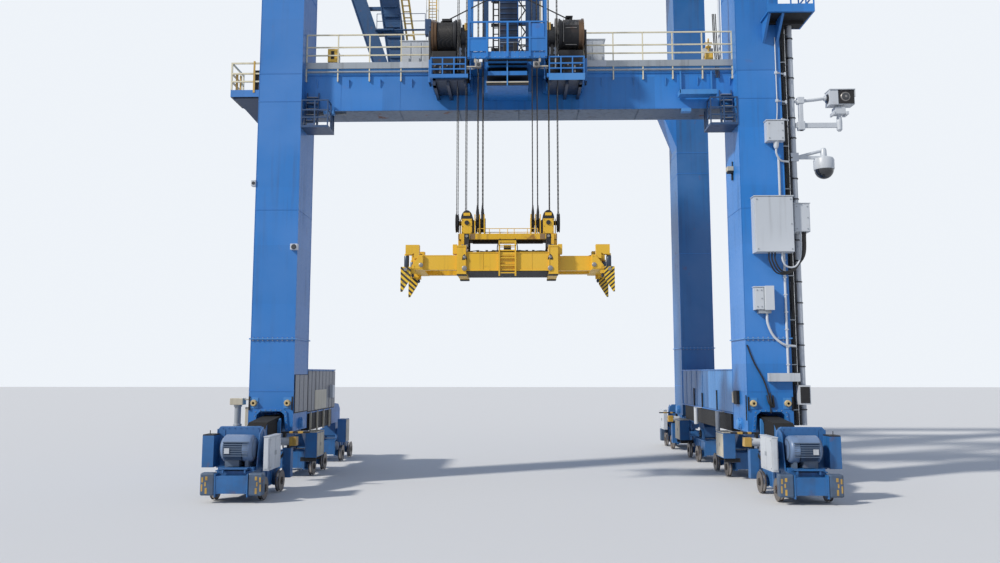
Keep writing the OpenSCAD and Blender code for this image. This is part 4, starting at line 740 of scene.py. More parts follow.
edges = []
for k, half in ((0, 0.43), (1, 0.54)):
    for side in (-1, 1):
        a, b = (brace_at(k, z) + side * half for z in BRACE_Z)
        outline = [(a - 0.03, BRACE_Z[0]), (a + 0.03, BRACE_Z[0]), (b + 0.03, BRACE_Z[1]), (b - 0.03, BRACE_Z[1])]
        edges.append(plate(outline, 5.5, 5.56))
piece("brace_flanges", brace_shade_paint, *edges)
hoops = []
for z in np.arange(21.3, 27.6, 0.75):
    turn = np.linspace(-0.15 * np.pi, 1.15 * np.pi, 13)
    ring = [(-5.045 + 0.36 * np.cos(t), 5.68 - 0.36 * np.sin(t) * 0.55, z) for t in turn]
    hoops.append(tube(ring, 0.014, sides=6, smooth=0))
straps = [boxes(*[[x, y, 21.0, x + 0.03, y + 0.012, 27.9] for x, y in ((-5.42, 5.6), (-5.06, 5.475), (-4.7, 5.6))])]
piece("ladder_cage", cream, *hoops, *straps)
piece("brace_stage", brace_shade_paint, boxes([-8.3, 5.35, 24.5, -5.4, 5.5, 24.56]),
      rods(0.02, [-8.3, 5.36, 24.56, -8.3, 5.36, 25.5], [-6.9, 5.36, 24.56, -6.9, 5.36, 25.5],
           [-5.45, 5.36, 24.56, -5.45, 5.36, 25.5], [-8.3, 5.36, 25.5, -5.45, 5.36, 25.5],
           [-8.3, 5.36, 25.05, -5.45, 5.36, 25.05]))
print(len(hoops), "cage hoops")

# %% [markdown]
# ## Hoist platform
# Two drums of wound rope sit on pedestals above a fascia of light panels, with guard frames,
# sensor boxes and open baskets at both sides. Each is built where its CAD carrier is.

# %% Wound rope and rims of the drums
HX, RY = -0.43, -8.49  # the hoist's middle in X, and the line of its ropes in Y
DRUM_Y, DRUM_Z, DRUM_R, DRUM_OFF, ROPE_TURNS = -7.87, 18.44, 0.62, 2.63, 18
for side, body in ((-1, "left_drum"), (1, "right_drum")):
    x = HX + side * DRUM_OFF
    low, high, rim_end = (-0.28, 0.36, -0.512) if side < 0 else (-0.36, 0.36, 0.512)
    h = np.linspace(low, high, ROPE_TURNS * 6 + 1)
    r = DRUM_R - 0.004 + 0.012 * np.abs(np.sin(np.pi * (h - low) / (high - low) * ROPE_TURNS))
    winding = turned(np.stack([h, r], 1), (x, DRUM_Y, DRUM_Z), sides=40)
    piece(f"{body}_winding", rope_steel, winding, body=body, smooth=True)
    ends = ([(-0.512, 0.6), (-0.512, 0.724), (-0.43, 0.724), (-0.41, 0.69), (-0.3, 0.685), (-0.28, 0.6)],
            [(0.36, 0.6), (0.38, 0.67), (0.44, 0.68), (0.456, 0.724), (0.512, 0.724), (0.512, 0.6)])
    ends = ends if side < 0 else [facing(end, -1) for end in ends[::-1]]
    pale = 0 if side < 0 else 1
    for k, end in enumerate(ends):
        piece(f"{body}_rim_{k}", bronze if k == pale else dark, turned(end, (x, DRUM_Y, DRUM_Z), sides=56), body=body,
              smooth=True)
    holes = bolt_circle(0.03, 0.02, side, (x + rim_end, DRUM_Y, DRUM_Z), 0.5, 10)
    hub = solid([(0.512, 0.34), (0.56, 0.34), (0.58, 0.26)], (x, DRUM_Y, DRUM_Z), sides=24)
    piece(f"{body}_bolts", dark, holes, hub if side > 0 else mirrored(hub, x), body=body)
print("drums wound")


# %% Pedestals, gear cases and brakes
def at_hoist(*rows):
    """Boxes whose X is an offset from the hoist's middle."""
    return boxes(*(np.array(rows, float) + [HX, 0, 0, HX, 0, 0]))


def both_sides(*rows):
    """The same on the hoist's left and its right."""
    rows = np.array(rows, float)
    return at_hoist(*rows, *(rows * [-1, 1, 1, -1, 1, 1]))


piece("drum_posts", steel_pin, both_sides([1.955, -8.04, 17.35, 2.095, -7.61, 19.17],
                                          [1.94, -8.05, 18.2, 2.11, -7.6, 18.68]), bevel=0.008)
gear = [solid([(-0.2, 0.3), (-0.16, 0.34), (0.2, 0.34)], (HX + side * 1.76, -8.0, 18.3), sides=24)
        for side in (-1, 1)]
tops = both_sides([1.56, -7.9, 18.78, 1.66, -7.7, 19.12], [1.72, -7.95, 18.78, 1.9, -7.6, 18.98],
                  [1.5, -8.2, 17.4, 1.6, -8.05, 18.1], [1.78, -8.16, 17.5, 1.9, -8.08, 18.2])
hubs = [solid([(2.09, 0.24), (2.13, 0.28)], (HX, DRUM_Y, DRUM_Z), sides=24)]
piece("gear_fittings", dark, *gear, tops, *hubs, mirrored(hubs[0], HX), bevel=0.006)
piece("brake_motors", amber_paint, both_sides([1.62, -8.12, 18.64, 1.8, -7.96, 18.98]), bevel=0.02)
outer = at_hoist([-3.46, -8.0, 18.55, -3.2, -7.7, 19.22], [-3.3, -8.05, 18.3, -3.16, -7.65, 18.62])
piece("drum_end_boxes", blue_shaded, outer, at_hoist([-3.28, -8.04, 18.86, -3.14, -7.98, 18.92]), bevel=0.012)
strips = both_sides([1.955, -8.1, 17.0, 2.035, -8.05, 17.92], [1.7, -8.1, 17.42, 1.76, -8.05, 17.92])
piece("bracket_strips", white_plate, strips,
      both_sides([1.76, -8.1, 17.62, 1.955, -8.06, 17.9], [1.36, -8.1, 16.98, 1.955, -8.06, 17.05]), bevel=0.006)
eyes = [solid([(-8.115, 0.075), (-8.1, 0.075)], (HX + s * 1.86, 0, 17.76), axis="y", sides=20) for s in (-1, 1)]
piece("bracket_eyes", black, *eyes, smooth=True)
clamp = at_hoist([-2.74, -8.1, 19.07, -2.32, -7.5, 19.18], [-2.8, -8.0, 19.07, -2.74, -7.6, 19.12],
                 [2.41, -8.1, 19.22, 2.71, -7.7, 19.26], [2.43, -8.1, 19.17, 2.47, -8.0, 19.22],
                 [2.65, -8.1, 19.17, 2.69, -8.0, 19.22])
piece("rope_clamps", dark, clamp, bevel=0.008)
print("machinery set out")

# %% Cover over the right drum's face
turn = np.radians(np.linspace(75, 235, 30))
arc = [(DRUM_Y + 0.675 * np.cos(t), DRUM_Z + 0.675 * np.sin(t)) for t in turn]
arc += [(DRUM_Y + 0.65 * np.cos(t), DRUM_Z + 0.65 * np.sin(t)) for t in turn[::-1]]
piece("drum_cover", black, plate(arc, HX + DRUM_OFF - 0.34, HX + DRUM_OFF + 0.34, "yz"))
lines = at_hoist([2.38, -8.56, 18.53, 2.84, -8.53, 18.55], [2.38, -8.35, 17.9, 2.84, -8.31, 17.92],
                 [2.285, -8.556, 17.95, 2.3, -8.53, 18.95])
ribs = [rods(0.008, [x, DRUM_Y + 0.684 * np.cos(a), DRUM_Z + 0.684 * np.sin(a), x, DRUM_Y + 0.684 * np.cos(b),
                     DRUM_Z + 0.684 * np.sin(b)]) for x in np.linspace(HX + 2.36, HX + 2.9, 11) for a,
        b in ((1.9, 2.2), (2.2, 2.5), (2.5, 2.8))]
piece("drum_cover_lines", steel_pin, lines, *ribs)
print("cover panels bent")

# %% Fascia, undersides, baskets and what they hold
light_panels = at_hoist([-1.5, -9.13, 17.38, -0.88, -9.1, 17.84], [0.9, -9.13, 17.38, 1.5, -9.1, 18.5])
piece("fascia_panels", blue_flat, light_panels, bevel=0.005)
piece("fascia_bolts", grey,
      bolts(0.016, 0.02, (0, -1, 0), *[(HX + x, -9.1, z) for x in np.linspace(-1.5, 1.5, 16)
                                       for z in (17.11, 17.31)]))
piece("platform_gratings", grey, grating(HX - 0.75, HX + 0.76, -8.95, -7.15, 17.34, 0.05))
# Black sheets under the slabs and behind the low bar: painted shade.
under = at_hoist([-0.79, -9.0, 17.035, 0.79, -7.04, 17.052], [-0.84, -8.835, 16.415, 0.84, -7.0, 16.434],
                 [-0.84, -7.3, 16.8, 0.84, -7.045, 17.03], [-0.85, -8.866, 16.01, 0.85, -8.856, 16.12])
piece("platform_underside_shade", black, under)
piece("platform_floor_beams", blue,
      at_hoist([-0.79, -8.84, 16.97, 0.79, -8.76, 17.03], [-0.79, -8.38, 16.97, 0.79, -8.29, 17.03]))
piece("platform_low_bar", beige, at_hoist([-0.85, -8.885, 16.12, 0.85, -8.857, 16.17]))
piece("frame_centre_post", blue_pale, at_hoist([-0.03, -8.9, 15.99, 0.02, -8.87, 17.06]))
full = both_sides([2.22, -8.7, 16.43, 3.04, -7.1, 17.05], [2.12, -8.35, 17.0, 3.12, -7.35, 17.68],
                  [1.66, -7.9, 16.43, 2.2, -7.1, 17.3], [2.25, -8.95, 16.43, 2.9, -8.72, 16.8],
                  [1.66, -8.95, 16.43, 1.9, -8.92, 17.0])
piece("basket_machinery", black, full, bevel=0.02)
specks = [bolts(0.022, 0.03, (0, -1, 0),
                *[(HX + s * x, y, z) for x, y, z in ((2.4, -8.7, 16.7), (2.55, -8.7, 16.95), (2.8, -8.7, 16.62),
                                                     (2.95, -8.7, 16.9), (2.62, -8.95, 16.66))]) for s in (-1, 1)]
piece("bearing_covers", blue, both_sides([3.19, -8.13, 16.43, 3.28, -7.61, 17.4]), bevel=0.01)
piece("basket_fittings", bright, *specks,
      both_sides([2.44, -8.73, 16.5, 2.47, -8.7, 17.0], [2.7, -8.99, 16.5, 2.73, -8.96, 16.78]))
# The brackets and plate under the baskets are near-black: painted shade under the baskets.
brackets = both_sides([2.89, -9.0, 16.008, 3.01, -8.6, 16.265], [2.89, -8.92, 16.008, 3.01, -7.05, 16.265],
                      [2.34, -8.92, 16.008, 2.46, -7.05, 16.265], [1.66, -8.9, 16.05, 1.76, -8.7, 16.265],
                      [1.7, -9.0, 16.18, 3.0, -7.2, 16.262])
piece("basket_brackets", navy_shade, brackets)
piece("platform_low_underside", blue_flat, at_hoist([-0.84, -8.84, 16.004, 0.84, -7.0, 16.013]))
piece("right_basket_plate", blue_pale, at_hoist([1.66, -9.125, 16.13, 3.1, -9.105, 16.4]))
piece("sensor_boxes", steel_pin, both_sides([1.04, -9.16, 16.66, 1.3, -8.98, 16.9]), bevel=0.02)
piece("sensor_lenses", lens, *[solid([(-0.03, 0.06), (0.0, 0.07)], (HX + s * 1.16, -9.16, 16.78), axis="y", sides=16)
                               for s in (-1, 1)], smooth=True)
piece("sensor_arms", beige, both_sides([1.3, -9.1, 16.7, 1.64, -9.06, 16.74]),
      at_hoist([-1.34, -9.08, 16.9, -1.26, -9.02, 17.06], [1.26, -9.08, 16.9, 1.34, -9.02, 17.06]))
print("platform panels hung")

# %% Tower ladder, lattice and hoses
tower_ladder = [boxes([-1.1, -6.86, 17.64, -1.03, -6.8, 27.9], [-0.86, -6.86, 17.64, -0.8, -6.8, 27.9]),
                rods(0.022, *[[-1.08, -6.83, z, -0.82, -6.83, z] for z in np.arange(17.9, 27.8, 0.28)], sides=6),
                boxes(*[[-1.16, -6.8, z, -0.8, -6.7, z + 0.12] for z in np.arange(18.3, 27.5, 1.1)])]
piece("tower_ladder", black, *tower_ladder)
# The near-black and dark blue plates on the tower's faces are painted shade: the tower stands in shade behind the
# platform.
piece("tower_column_faces", navy_shade, boxes([-0.8, -6.2, 17.3, -0.03, -6.176, 27.95]))
piece("tower_second_face", blue_shaded,
      boxes([0.33, -6.2, 17.3, 0.95, -6.176, 27.95], [-1.54, -6.1, 17.3, -1.3, -6.076, 27.95]))
piece("tower_ribs", blue_shaded,
      boxes(*[[-0.8, -6.225, z, -0.03, -6.205, z + 0.07] for z in np.arange(17.7, 27.8, 0.25)]),
      boxes([0.5, -6.225, 17.3, 0.53, -6.205, 27.95], [0.74, -6.225, 17.3, 0.77, -6.205, 27.95]))
lattice = [rods(0.028, *[[0.0, -6.14, z, 0.32, -6.14, z + 0.5] if i % 2 else [0.32, -6.14, z, 0.0, -6.14, z + 0.5]
                         for i, z in enumerate(np.arange(17.4, 27.2, 0.5))], sides=6),
           boxes([0.14, -6.1, 17.3, 0.17, -6.07, 27.9],
                 *[[-0.02, -6.12, z, 0.33, -6.08, z + 0.05] for z in np.arange(17.9, 27.5, 0.9)])]
piece("tower_lattice", dark, *lattice)
piece("tower_strip", beige, boxes([0.95, -6.22, 17.3, 1.03, -6.15, 27.9]))
pack = boxes([-0.7, -7.6, 17.35, 0.1, -7.2, 17.8], [-0.62, -7.7, 17.35, -0.45, -7.6, 18.2],
             [-0.2, -7.7, 17.35, -0.02, -7.6, 18.3], [0.35, -7.6, 17.35, 0.6, -7.3, 17.9])
piece("platform_pumps", dark, pack, bevel=0.015)
piece("platform_pipes", white_plate,
      rods(0.02, [-1.3, -7.62, 17.75, -0.8, -7.62, 17.75], [-0.75, -7.62, 18.32, 0.1, -7.62, 18.32],
           [-0.5, -7.62, 17.78, 0.05, -7.62, 17.78]))
hoses = [tube([(HX + x, -8.2 + 0.1 * i, 17.36), (HX + x * 0.9, -8.3, 17.7 + 0.1 * i), (HX + x * 0.5, -7.9, 18.0),
               (HX + x * 0.3, -7.5, 17.8), (HX + 0.1, -7.4, 17.5)], 0.022, smooth=30) for i,
         x in enumerate((-1.25, 1.2))]
piece("platform_hoses", rubber, *hoses, smooth=True)
print("tower dressed")

# %% [markdown]
# ## Top frame and head sheaves
# Above the photograph's edge the same language goes on: flanged girders, bolted hangers and
# guards over the sheaves, so that the crane reads well from above.

# %% Top frame trim
ROPE_X, HEAD_Z = np.array([-2.02, -1.67, -1.2, -1.0, 1.0, 1.2, 1.67, 2.02]), 27.3


def sheave_guard(x):
    """A guard bent round the top of a sheave: an outer and an inner arc of one strip."""
    turn = np.linspace(0.15 * np.pi, 0.85 * np.pi, 12)
    outline = [(RY + r * np.cos(t), HEAD_Z + r * np.sin(t)) for r, row in ((0.44, turn), (0.42, turn[::-1]))
               for t in row]
    return plate(outline, HX + x - 0.07, HX + x + 0.07, "yz")


top_trim = [boxes([-14.2, y + s * 0.85, 29.76, 14.2, y + s * 0.9, 29.8]) for y in (-LEG_Y, LEG_Y) for s in (-1, 1)]
top_trim += [boxes([-12.4, y + s * 0.85, 28.0, 12.4, y + s * 0.9, 28.04]) for y in (-LEG_Y, LEG_Y) for s in (-1, 1)]
piece("top_flanges", blue_pale, *top_trim)
hangers = [bolts(0.025, 0.03, (0, -1, 0),
                 *[(HX + x + 0.03, RY - 0.2, z) for x in (-2.2, -1.875, -1.45, -0.76, 0.7, 1.39, 1.815, 2.14)
                   for z in (27.15, 27.5, 27.85)])]
piece("hanger_bolts", grey, *hangers)
piece("sheave_guards", blue_shaded, *[sheave_guard(x) for x in ROPE_X])
print("top frame trimmed")

# %% [markdown]
# ## Hoist ropes
# A laid rope is six strands twisted round each other. Its section is a circle with six soft
# lobes that turns as it climbs.

# %% Twisted ropes between the sheaves
ROPE_R, GROOVE_R, SHEAVE_Z = 0.018, 0.353, 10.44


def laid(x, y, z0, z1, rings=96, sides=12):
    """Radius = r * (0.92 + 0.08 cos 6(a - twist z)): six lobes that wind once in 0.9 m."""
    z = np.linspace(z0, z1, rings)[:, None]
    a = 2 * np.pi * np.arange(sides)[None] / sides
    turn = a + 2 * np.pi * z / 0.9
    r = ROPE_R * (0.92 + 0.08 * np.cos(6 * a))
    verts = np.stack([x + r * np.cos(turn), y + r * np.sin(turn), z + 0 * a], -1).reshape(-1, 3)
    return verts, skin(rings, sides)


falls = [laid(HX + x, RY + side * (GROOVE_R + ROPE_R), SHEAVE_Z, HEAD_Z) for x in ROPE_X for side in (-1, 1)]
ropes = piece("hoist_rope_falls", rope_steel, *falls, body=None, smooth=True)
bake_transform(ropes)
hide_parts("hoist_ropes")
print(len(falls), "falls,", len(ropes.data.polygons), "faces")

# %% [markdown]
# ## Head block
# A yellow beam carries the sheaves between cheek plates. Yellow housings with domed black
# guards, tall rope sockets, and a low handrail show in front of the sheaves.

# %% Housings, guards, sockets and handrail
def on_block(name, material, *shapes, **looks):
    """A piece that rides on the head block."""
    return piece(name, material, *shapes, body="head_block", **looks)


BLOCK_FRONT, BLOCK_TOP, HOUSING_X = RY - 0.45, 9.95, 1.61
housing, guards, sockets, dark_bits, posts = [], [], [], [], []
for s in (-1, 1):
    x = HX + s * HOUSING_X
    face = [(x - 0.21, BLOCK_TOP), (x + 0.21, BLOCK_TOP), (x + 0.21, 10.54), (x - 0.21, 10.54)]
    arc = np.linspace(0, np.pi, 17)
    for y, way in ((BLOCK_FRONT, -1), (RY + 0.45, 1)):
        housing.append(plate(face, y - 0.02, y + 0.02))
        housing.append(boxes([x - 0.13, y + way * 0.015, 10.66, x + 0.13, y + way * 0.03, 10.78]))
        dark_bits.append(solid([(-0.03, 0.09), (0.03, 0.09)], (x, y + way * 0.03, 10.38), axis="y", sides=20))
        dark_bits.append(bolts(0.016, 0.02, (0, way, 0), *[(x + dx, y + way * 0.02, z) for dx in (-0.17, 0.17)
                                                           for z in (10.0, 10.24, 10.49)]))
    guards.append(plate([(x + 0.235 * np.cos(t), 10.53 + 0.36 * np.sin(t)) for t in arc], RY - 0.46, RY + 0.46))
    for w in (1.0, 1.2):
        profile = [(10.68, 0.001), (10.68, 0.052), (10.82, 0.055), (10.98, 0.034), (11.1, 0.026), (11.1, 0.001)]
        sockets += [turned(profile, (HX + s * w, y, 0), axis="z", sides=14)
                    for y in (RY - GROOVE_R - ROPE_R, RY + GROOVE_R + ROPE_R)]
        sockets.append(boxes([HX + s * w - 0.045, RY - 0.44, 10.5, HX + s * w + 0.045, RY - 0.34, 10.7]))
    for w in (0.92, 1.1, 1.29):
        posts.append(boxes(*[[HX + s * w - 0.02, y, BLOCK_TOP, HX + s * w + 0.02, y + 0.03, 10.72]
                             for y in (RY - 0.46, RY + 0.43)]))
    dark_bits.append(boxes([HX + s * 1.36 - 0.04, RY - 0.4, 9.97, HX + s * 1.36 + 0.04, RY + 0.4, 10.5]))
    dark_bits.append(boxes([HX + s * 1.52, RY - 0.5, 9.33, HX + s * 1.7, RY - 0.45, 9.93],
                           [HX + s * 1.52, RY + 0.45, 9.33, HX + s * 1.7, RY + 0.5, 9.93]))
on_block("block_housings", yellow, *housing, *posts, bevel=0.006)
on_block("block_sheave_guards", black, *guards, bevel=0.01)
on_block("rope_sockets", black, *sockets, smooth=True)
on_block("block_pins_and_links", dark, *dark_bits, bevel=0.006)
links = [boxes([HX + s * 1.71, y, 9.33, HX + s * 1.83, y + 0.05, 9.93]) for s in (-1, 1)
         for y in (RY - 0.49, RY + 0.44)]
link_pins = [rods(0.055, [HX + s * x, RY - 0.53, z, HX + s * x, RY - 0.44, z], sides=16) for s in (-1, 1) for x,
             z in ((1.61, 9.84), (1.61, 9.46), (1.77, 9.46))]
on_block("block_hanger_plates", yellow, *links, bevel=0.006)
on_block("block_hanger_pins", steel_pin, *link_pins, smooth=True)
RAIL_FEET = (-1.17, -0.72, -0.31, 0.0, 0.26, 0.78, 1.19)
rail = [rods(0.014, [HX - 1.17, y, 10.15, HX + 1.19, y, 10.15],
             *[[HX + x, y, BLOCK_TOP, HX + x, y, 10.15] for x in RAIL_FEET]) for y in (RY - 0.43, RY + 0.43)]
on_block("block_handrail", safety, *rail, smooth=True)
# Black plates under the beam of the head block: painted shade on its underside.
on_block("block_underside_shade", black, at_hoist([-1.94, RY - 0.44, 9.7, 1.94, RY + 0.44, 9.72],
                                            [-1.4, RY - 0.1, 9.62, 1.4, RY + 0.1, 9.7]), bevel=0.004)
on_block("block_marks", grime,
         boxes(*[[HX + s * x, BLOCK_FRONT - 0.004, 9.73, HX + s * (x + w), BLOCK_FRONT, 9.94] for s in (-1, 1) for x,
                 w in ((1.28, 0.2), (1.9, 0.05))]))
print("head block dressed")

# %% [markdown]
# ## Spreader
# The frame is a dirty golden box girder. Thin hydraulic lines run along its top, side boxes
# hold valves, each collar has two round pins, and its underside is black: dirt from containers, and painted shade.

# %% Frame: edges, collars, boxes, lines and ladder
YF, YB, FRAME_Z, FRAME_TOP = RY - 1.06, RY + 1.06, 8.39, 9.125
trims = []
for y, w in ((YF, -1), (YB, 1)):
    trims.append(boxes([HX - 1.59, y, FRAME_TOP - 0.03, HX + 1.59, y + w * 0.025, FRAME_TOP],
                       [HX - 1.59, y, FRAME_Z, HX + 1.59, y + w * 0.03, FRAME_Z + 0.05],
                       *[[HX + x, y, FRAME_Z, HX + x + 0.018, y + w * 0.012, FRAME_TOP] for x in (-0.95, 0.93)]))
for s in (-1, 1):
    for y, w in ((RY - 1.12, -1), (RY + 1.12, 1)):
        x = HX + s * 1.77
        trims.append(boxes([x - 0.19, y, 9.32, x + 0.19, y + w * 0.02, 9.38],
                           [x - 0.19, y, 8.26, x + 0.19, y + w * 0.02, 8.31],
                           [x - s * 0.17, y, 8.3, x - s * 0.15, y + w * 0.02, 9.33]))
on_block("spreader_edges", yellow, *trims, bevel=0.005)
pins, pin_seats = [], []
for s in (-1, 1):
    for y, w in ((RY - 1.12, -1), (RY + 1.12, 1)):
        for x, z, r in ((1.65, 8.915, 0.06), (1.65, 8.485, 0.1)):
            disc = [(-0.005, 0.001), (-0.005, r), (0.035, r), (0.05, r * 0.7), (0.05, 0.001)]
            pins.append(turned(facing(disc, w), (HX + s * x, y, z), axis="y", sides=20))
        pin_seats.append(plate([(HX + s * 1.65 - 0.1, 8.82), (HX + s * 1.65 + 0.1, 8.82),
                                (HX + s * 1.65 + 0.07, 8.97), (HX + s * 1.65, 9.04), (HX + s * 1.65 - 0.07, 8.97)],
                               y - 0.012, y + 0.012))
on_block("collar_pins", steel_pin, *pins, smooth=True)
on_block("collar_pin_seats", dark, *pin_seats)
side_boxes = [boxes([HX + s * 1.95, RY - 1.0, 9.06, HX + s * 2.12, RY - 0.7, 9.44],
                    [HX + s * 1.95, RY + 0.7, 9.06, HX + s * 2.12, RY + 1.0, 9.44]) for s in (-1, 1)]
on_block("spreader_boxes", yellow, *side_boxes, bevel=0.012)
# Black plates under the collars and the frame: dirt from containers, and painted shade on the undersides.
on_block("spreader_underside_dirt_and_shade", black,
         boxes(*[[HX + s * 1.585, RY + w * 1.126, 8.235, HX + s * 1.955, RY + w * 0.7, 8.275] for s in (-1, 1)
                 for w in (-1, 1)], [HX - 1.59, YF + 0.005, FRAME_Z - 0.02, HX + 1.59, YB - 0.005, FRAME_Z],
               [HX - 0.14, YF - 0.035, 9.16, HX + 0.14, YF + 0.3, 9.4]), bevel=0.004)
lines = []
for i in range(4):
    y, z = YF + 0.05 + 0.06 * i, FRAME_TOP + 0.02
    lines.append(tube([(HX - 1.55, y, z), (HX - 1.2, y, z + 0.03 + 0.01 * i), (HX - 0.8, y + 0.02, z),
                       (HX - 0.4, y, z + 0.04), (HX, y, z), (HX + 0.45, y + 0.02, z + 0.04), (HX + 0.9, y, z + 0.01),
                       (HX + 1.3, y, z + 0.03), (HX + 1.55, y, z)], 0.018, sides=6, smooth=48))
lines += [tube([(HX + s * 1.45, YF + 0.12, FRAME_TOP), (HX + s * 1.5, YF - 0.02, 9.3),
                (HX + s * 1.52, YF + 0.1, 9.55), (HX + s * 1.5, RY - 0.5, 9.72)], 0.018, smooth=20) for s in (-1, 1)]
lines += [tube([(HX + s * 0.36, YF + 0.15, FRAME_TOP), (HX + s * 0.39, YF + 0.02, 9.25),
                (HX + s * 0.37, YF + 0.2, 9.45), (HX + s * 0.3, RY - 0.44, 9.74)], 0.02, smooth=20) for s in (-1, 1)]
on_block("spreader_lines", rubber, *lines, smooth=True)
valves = boxes(*[[HX + x, YF + 0.08, FRAME_TOP, HX + x + 0.1, YF + 0.25, FRAME_TOP + 0.09]
                 for x in (-1.2, -0.85, -0.6, 0.42, 0.7, 0.95)])
on_block("line_valves", dark, valves, bevel=0.008)
on_block("ladder_rungs", yellow, at_hoist([-0.34, YF - 0.11, 9.5, 0.34, YF - 0.06, 9.56],
                                          [-0.34, YF - 0.11, 9.34, 0.34, YF - 0.07, 9.37]),
         rods(0.014, *[[HX - 0.3, YF - 0.06, z, HX + 0.3, YF - 0.06, z] for z in np.arange(8.435, 9.5, 0.145)],
              sides=6), at_hoist([-0.28, YF - 0.05, 8.95, 0.28, YF - 0.03, 9.12]), bevel=0.004)
print("spreader frame dressed")

# %% Arms: pins, cylinders, goosenecks and twistlocks
ARM_Z, ARM_TOP = 8.445, 9.015
for side, body in ((-1, "left_arm"), (1, "right_arm")):
    def x(a):
        return HX + side * a

    edges_, darks, round_pins = [], [], []
    for y in (RY - 0.99, RY + 0.73) if side < 0 else (RY - 0.69, RY + 0.43):
        edges_.append(boxes([x(2.15), y - 0.005, ARM_Z + 0.001, x(3.24), y + 0.265, ARM_Z + 0.03],
                            [x(2.15), y - 0.005, ARM_TOP - 0.03, x(3.24), y + 0.265, ARM_TOP + 0.004]))
    for y, w in ((RY - 1.1, -1), (RY + 1.1, 1)):
        edges_.append(plate([(x(3.26), 8.48), (x(3.66), 8.48), (x(3.66), 8.61), (x(3.4), 8.98), (x(3.26), 8.98)], y,
                            y + w * 0.012))
        disc = [(0.0, 0.001), (0.0, 0.085), (0.03, 0.085), (0.045, 0.06), (0.045, 0.001)]
        round_pins.append(turned(facing(disc, w), (x(3.33), y + w * 0.012, 8.62), axis="y", sides=20))
        darks.append(turned([(8.537, 0.001), (8.537, 0.088), (8.6, 0.097), (8.98, 0.097), (9.03, 0.07),
                             (9.033, 0.001)], (x(3.91), y - w * 0.18, 0), axis="z", sides=20))
        darks.append(turned([(8.14, 0.001), (8.16, 0.03), (8.2, 0.055), (8.24, 0.055), (8.27, 0.04), (8.3, 0.04),
                             (8.3, 0.001)], (x(3.66), y - w * 0.11, 0), axis="z", sides=16))
        round_pins.append(solid([(-0.012, 0.07), (0.012, 0.07)], (x(3.91), y + w * 0.135, 8.44), axis="y", sides=20))
        edges_.append(bolts(0.018, 0.02, (0, w, 0),
                            *[(x(a), y + w * 0.012, z) for a in (3.29, 3.6)
                              for z in (8.51, 8.95 if a < 3.4 else 8.58)]))
    piece(f"{body}_edges", yellow, *edges_, body=body)
    piece(f"{body}_cylinders", cylinder_paint, *darks, body=body, smooth=True)
    piece(f"{body}_pins", steel_pin, *round_pins, body=body, smooth=True)
    piece(f"{body}_hoses", rubber,
          tube([(x(3.62), RY - 0.55, 9.0), (x(3.5), RY - 0.5, 9.14), (x(3.3), RY - 0.47, 9.08),
                (x(3.12), RY - 0.45, 9.03)], 0.016, smooth=20), body=body, smooth=True)
print("arms dressed")

# %% [markdown]
# ## Bogies
# Each bogie is two side frames between flanged wheels. The wheels stand outside the frames,
# dark with worn rims. Saddles pin each bogie to its equaliser beam.

# %% Frame flanges, pins and wheel faces
BOGIE_Y, AXLES, AXLE_Z = [-10.1, -3.0, 3.0, 10.1], [-11.15, -9.05, -4.05, -1.95, 1.95, 4.05, 9.05, 11.15], 0.4
flange_strips, saddles = [], []
for track in TRACKS:
    for y in BOGIE_Y if track > 0 else BOGIE_Y[:3]:
        for s in (-1, 1):
            inner = track + s * 0.63
            flange_strips.append(boxes([inner, y - 1.61, 1.04, inner + s * 0.05, y + 1.61, 1.08],
                                       [inner, y - 1.61, 0.3, inner + s * 0.03, y + 1.61, 0.34],
                                       *[[inner, y + d, 0.34, inner + s * 0.03, y + d + 0.03, 1.04]
                                         for d in (-0.55, -0.02, 0.52)]))
            saddles.append(solid([(-0.02, 0.2), (0.02, 0.2)], (track + s * 0.5, y, 1.32), sides=24))
            saddles.append(bolt_circle(0.025, 0.03, s, (track + s * 0.52, y, 1.32), 0.16, 6))
piece("bogie_flanges", blue_shade_and_wear, *flange_strips)
piece("bogie_saddle_pins", dark, *saddles)
for n, y in enumerate(AXLES, 1):
    rims, treads_, hubs = [], [], []
    for track in TRACKS if n < 7 else TRACKS[1:]:
        for s in (-1, 1):
            x = track + s * 0.85
            rim = [(0.05, 0.33), (0.05, 0.4005), (0.077, 0.398), (0.077, 0.33)]
            rims += [turned(facing(rim, way), (x, y, AXLE_Z), sides=40) for way in (-1, 1)]
            treads_.append(turned([(-0.038, 0.3), (-0.038, 0.3735), (0.038, 0.3735), (0.038, 0.3)], (x, y, AXLE_Z),
                                  sides=40))
            hubs.append(bolt_circle(0.014, 0.02, s, (track + s * 0.945, y, AXLE_Z), 0.115, 6))
    piece(f"wheels_{n}_rims", rim_steel, *rims, body=f"wheels_{n}", smooth=True)
    piece(f"wheels_{n}_treads", bright, *treads_, body=f"wheels_{n}", smooth=True)
    piece(f"wheels_{n}_hub_bolts", dark, *hubs, body=f"wheels_{n}")
print("wheels rimmed")

# %% [markdown]
# ## Travel drives, cabinets and buffers
# Three corners of the crane have a motor across the bogie: dark fins at its front, a smooth hood
# over it and a rounded fan cowl. A blue gear plate stands behind it, an upright case outside
# it, a white cabinet on the inner side, and rounded buffers with yellow flashes before it.

# %% Motors and gear plates at three corners
MY, MZ = -11.27, 1.81
ENDS = ((-1, -1), (1, -1), (1, 1))
made = {name: [] for name in "hood fins drum gear case doors trim roller roller_end fender beam flash pale "
        "second second_door dark lug".split()}


def stand(shape, track, end):
    """A shape drawn for the front right bogie (x from the track's centre), put at one corner of the crane."""
    shape = shape if track > 0 else mirrored(shape, 0.0, 0)
    shape = shape if end < 0 else mirrored(shape, 0.0, 1)
    return moved(shape, track * TRACKS[1], 0, 0)


def add(kind, *shapes):
    """Shapes drawn once, set out at the three corners of the crane that have a drive."""
    for track, end in ENDS:
        made[kind] += [stand(shape, track, end) for shape in shapes]


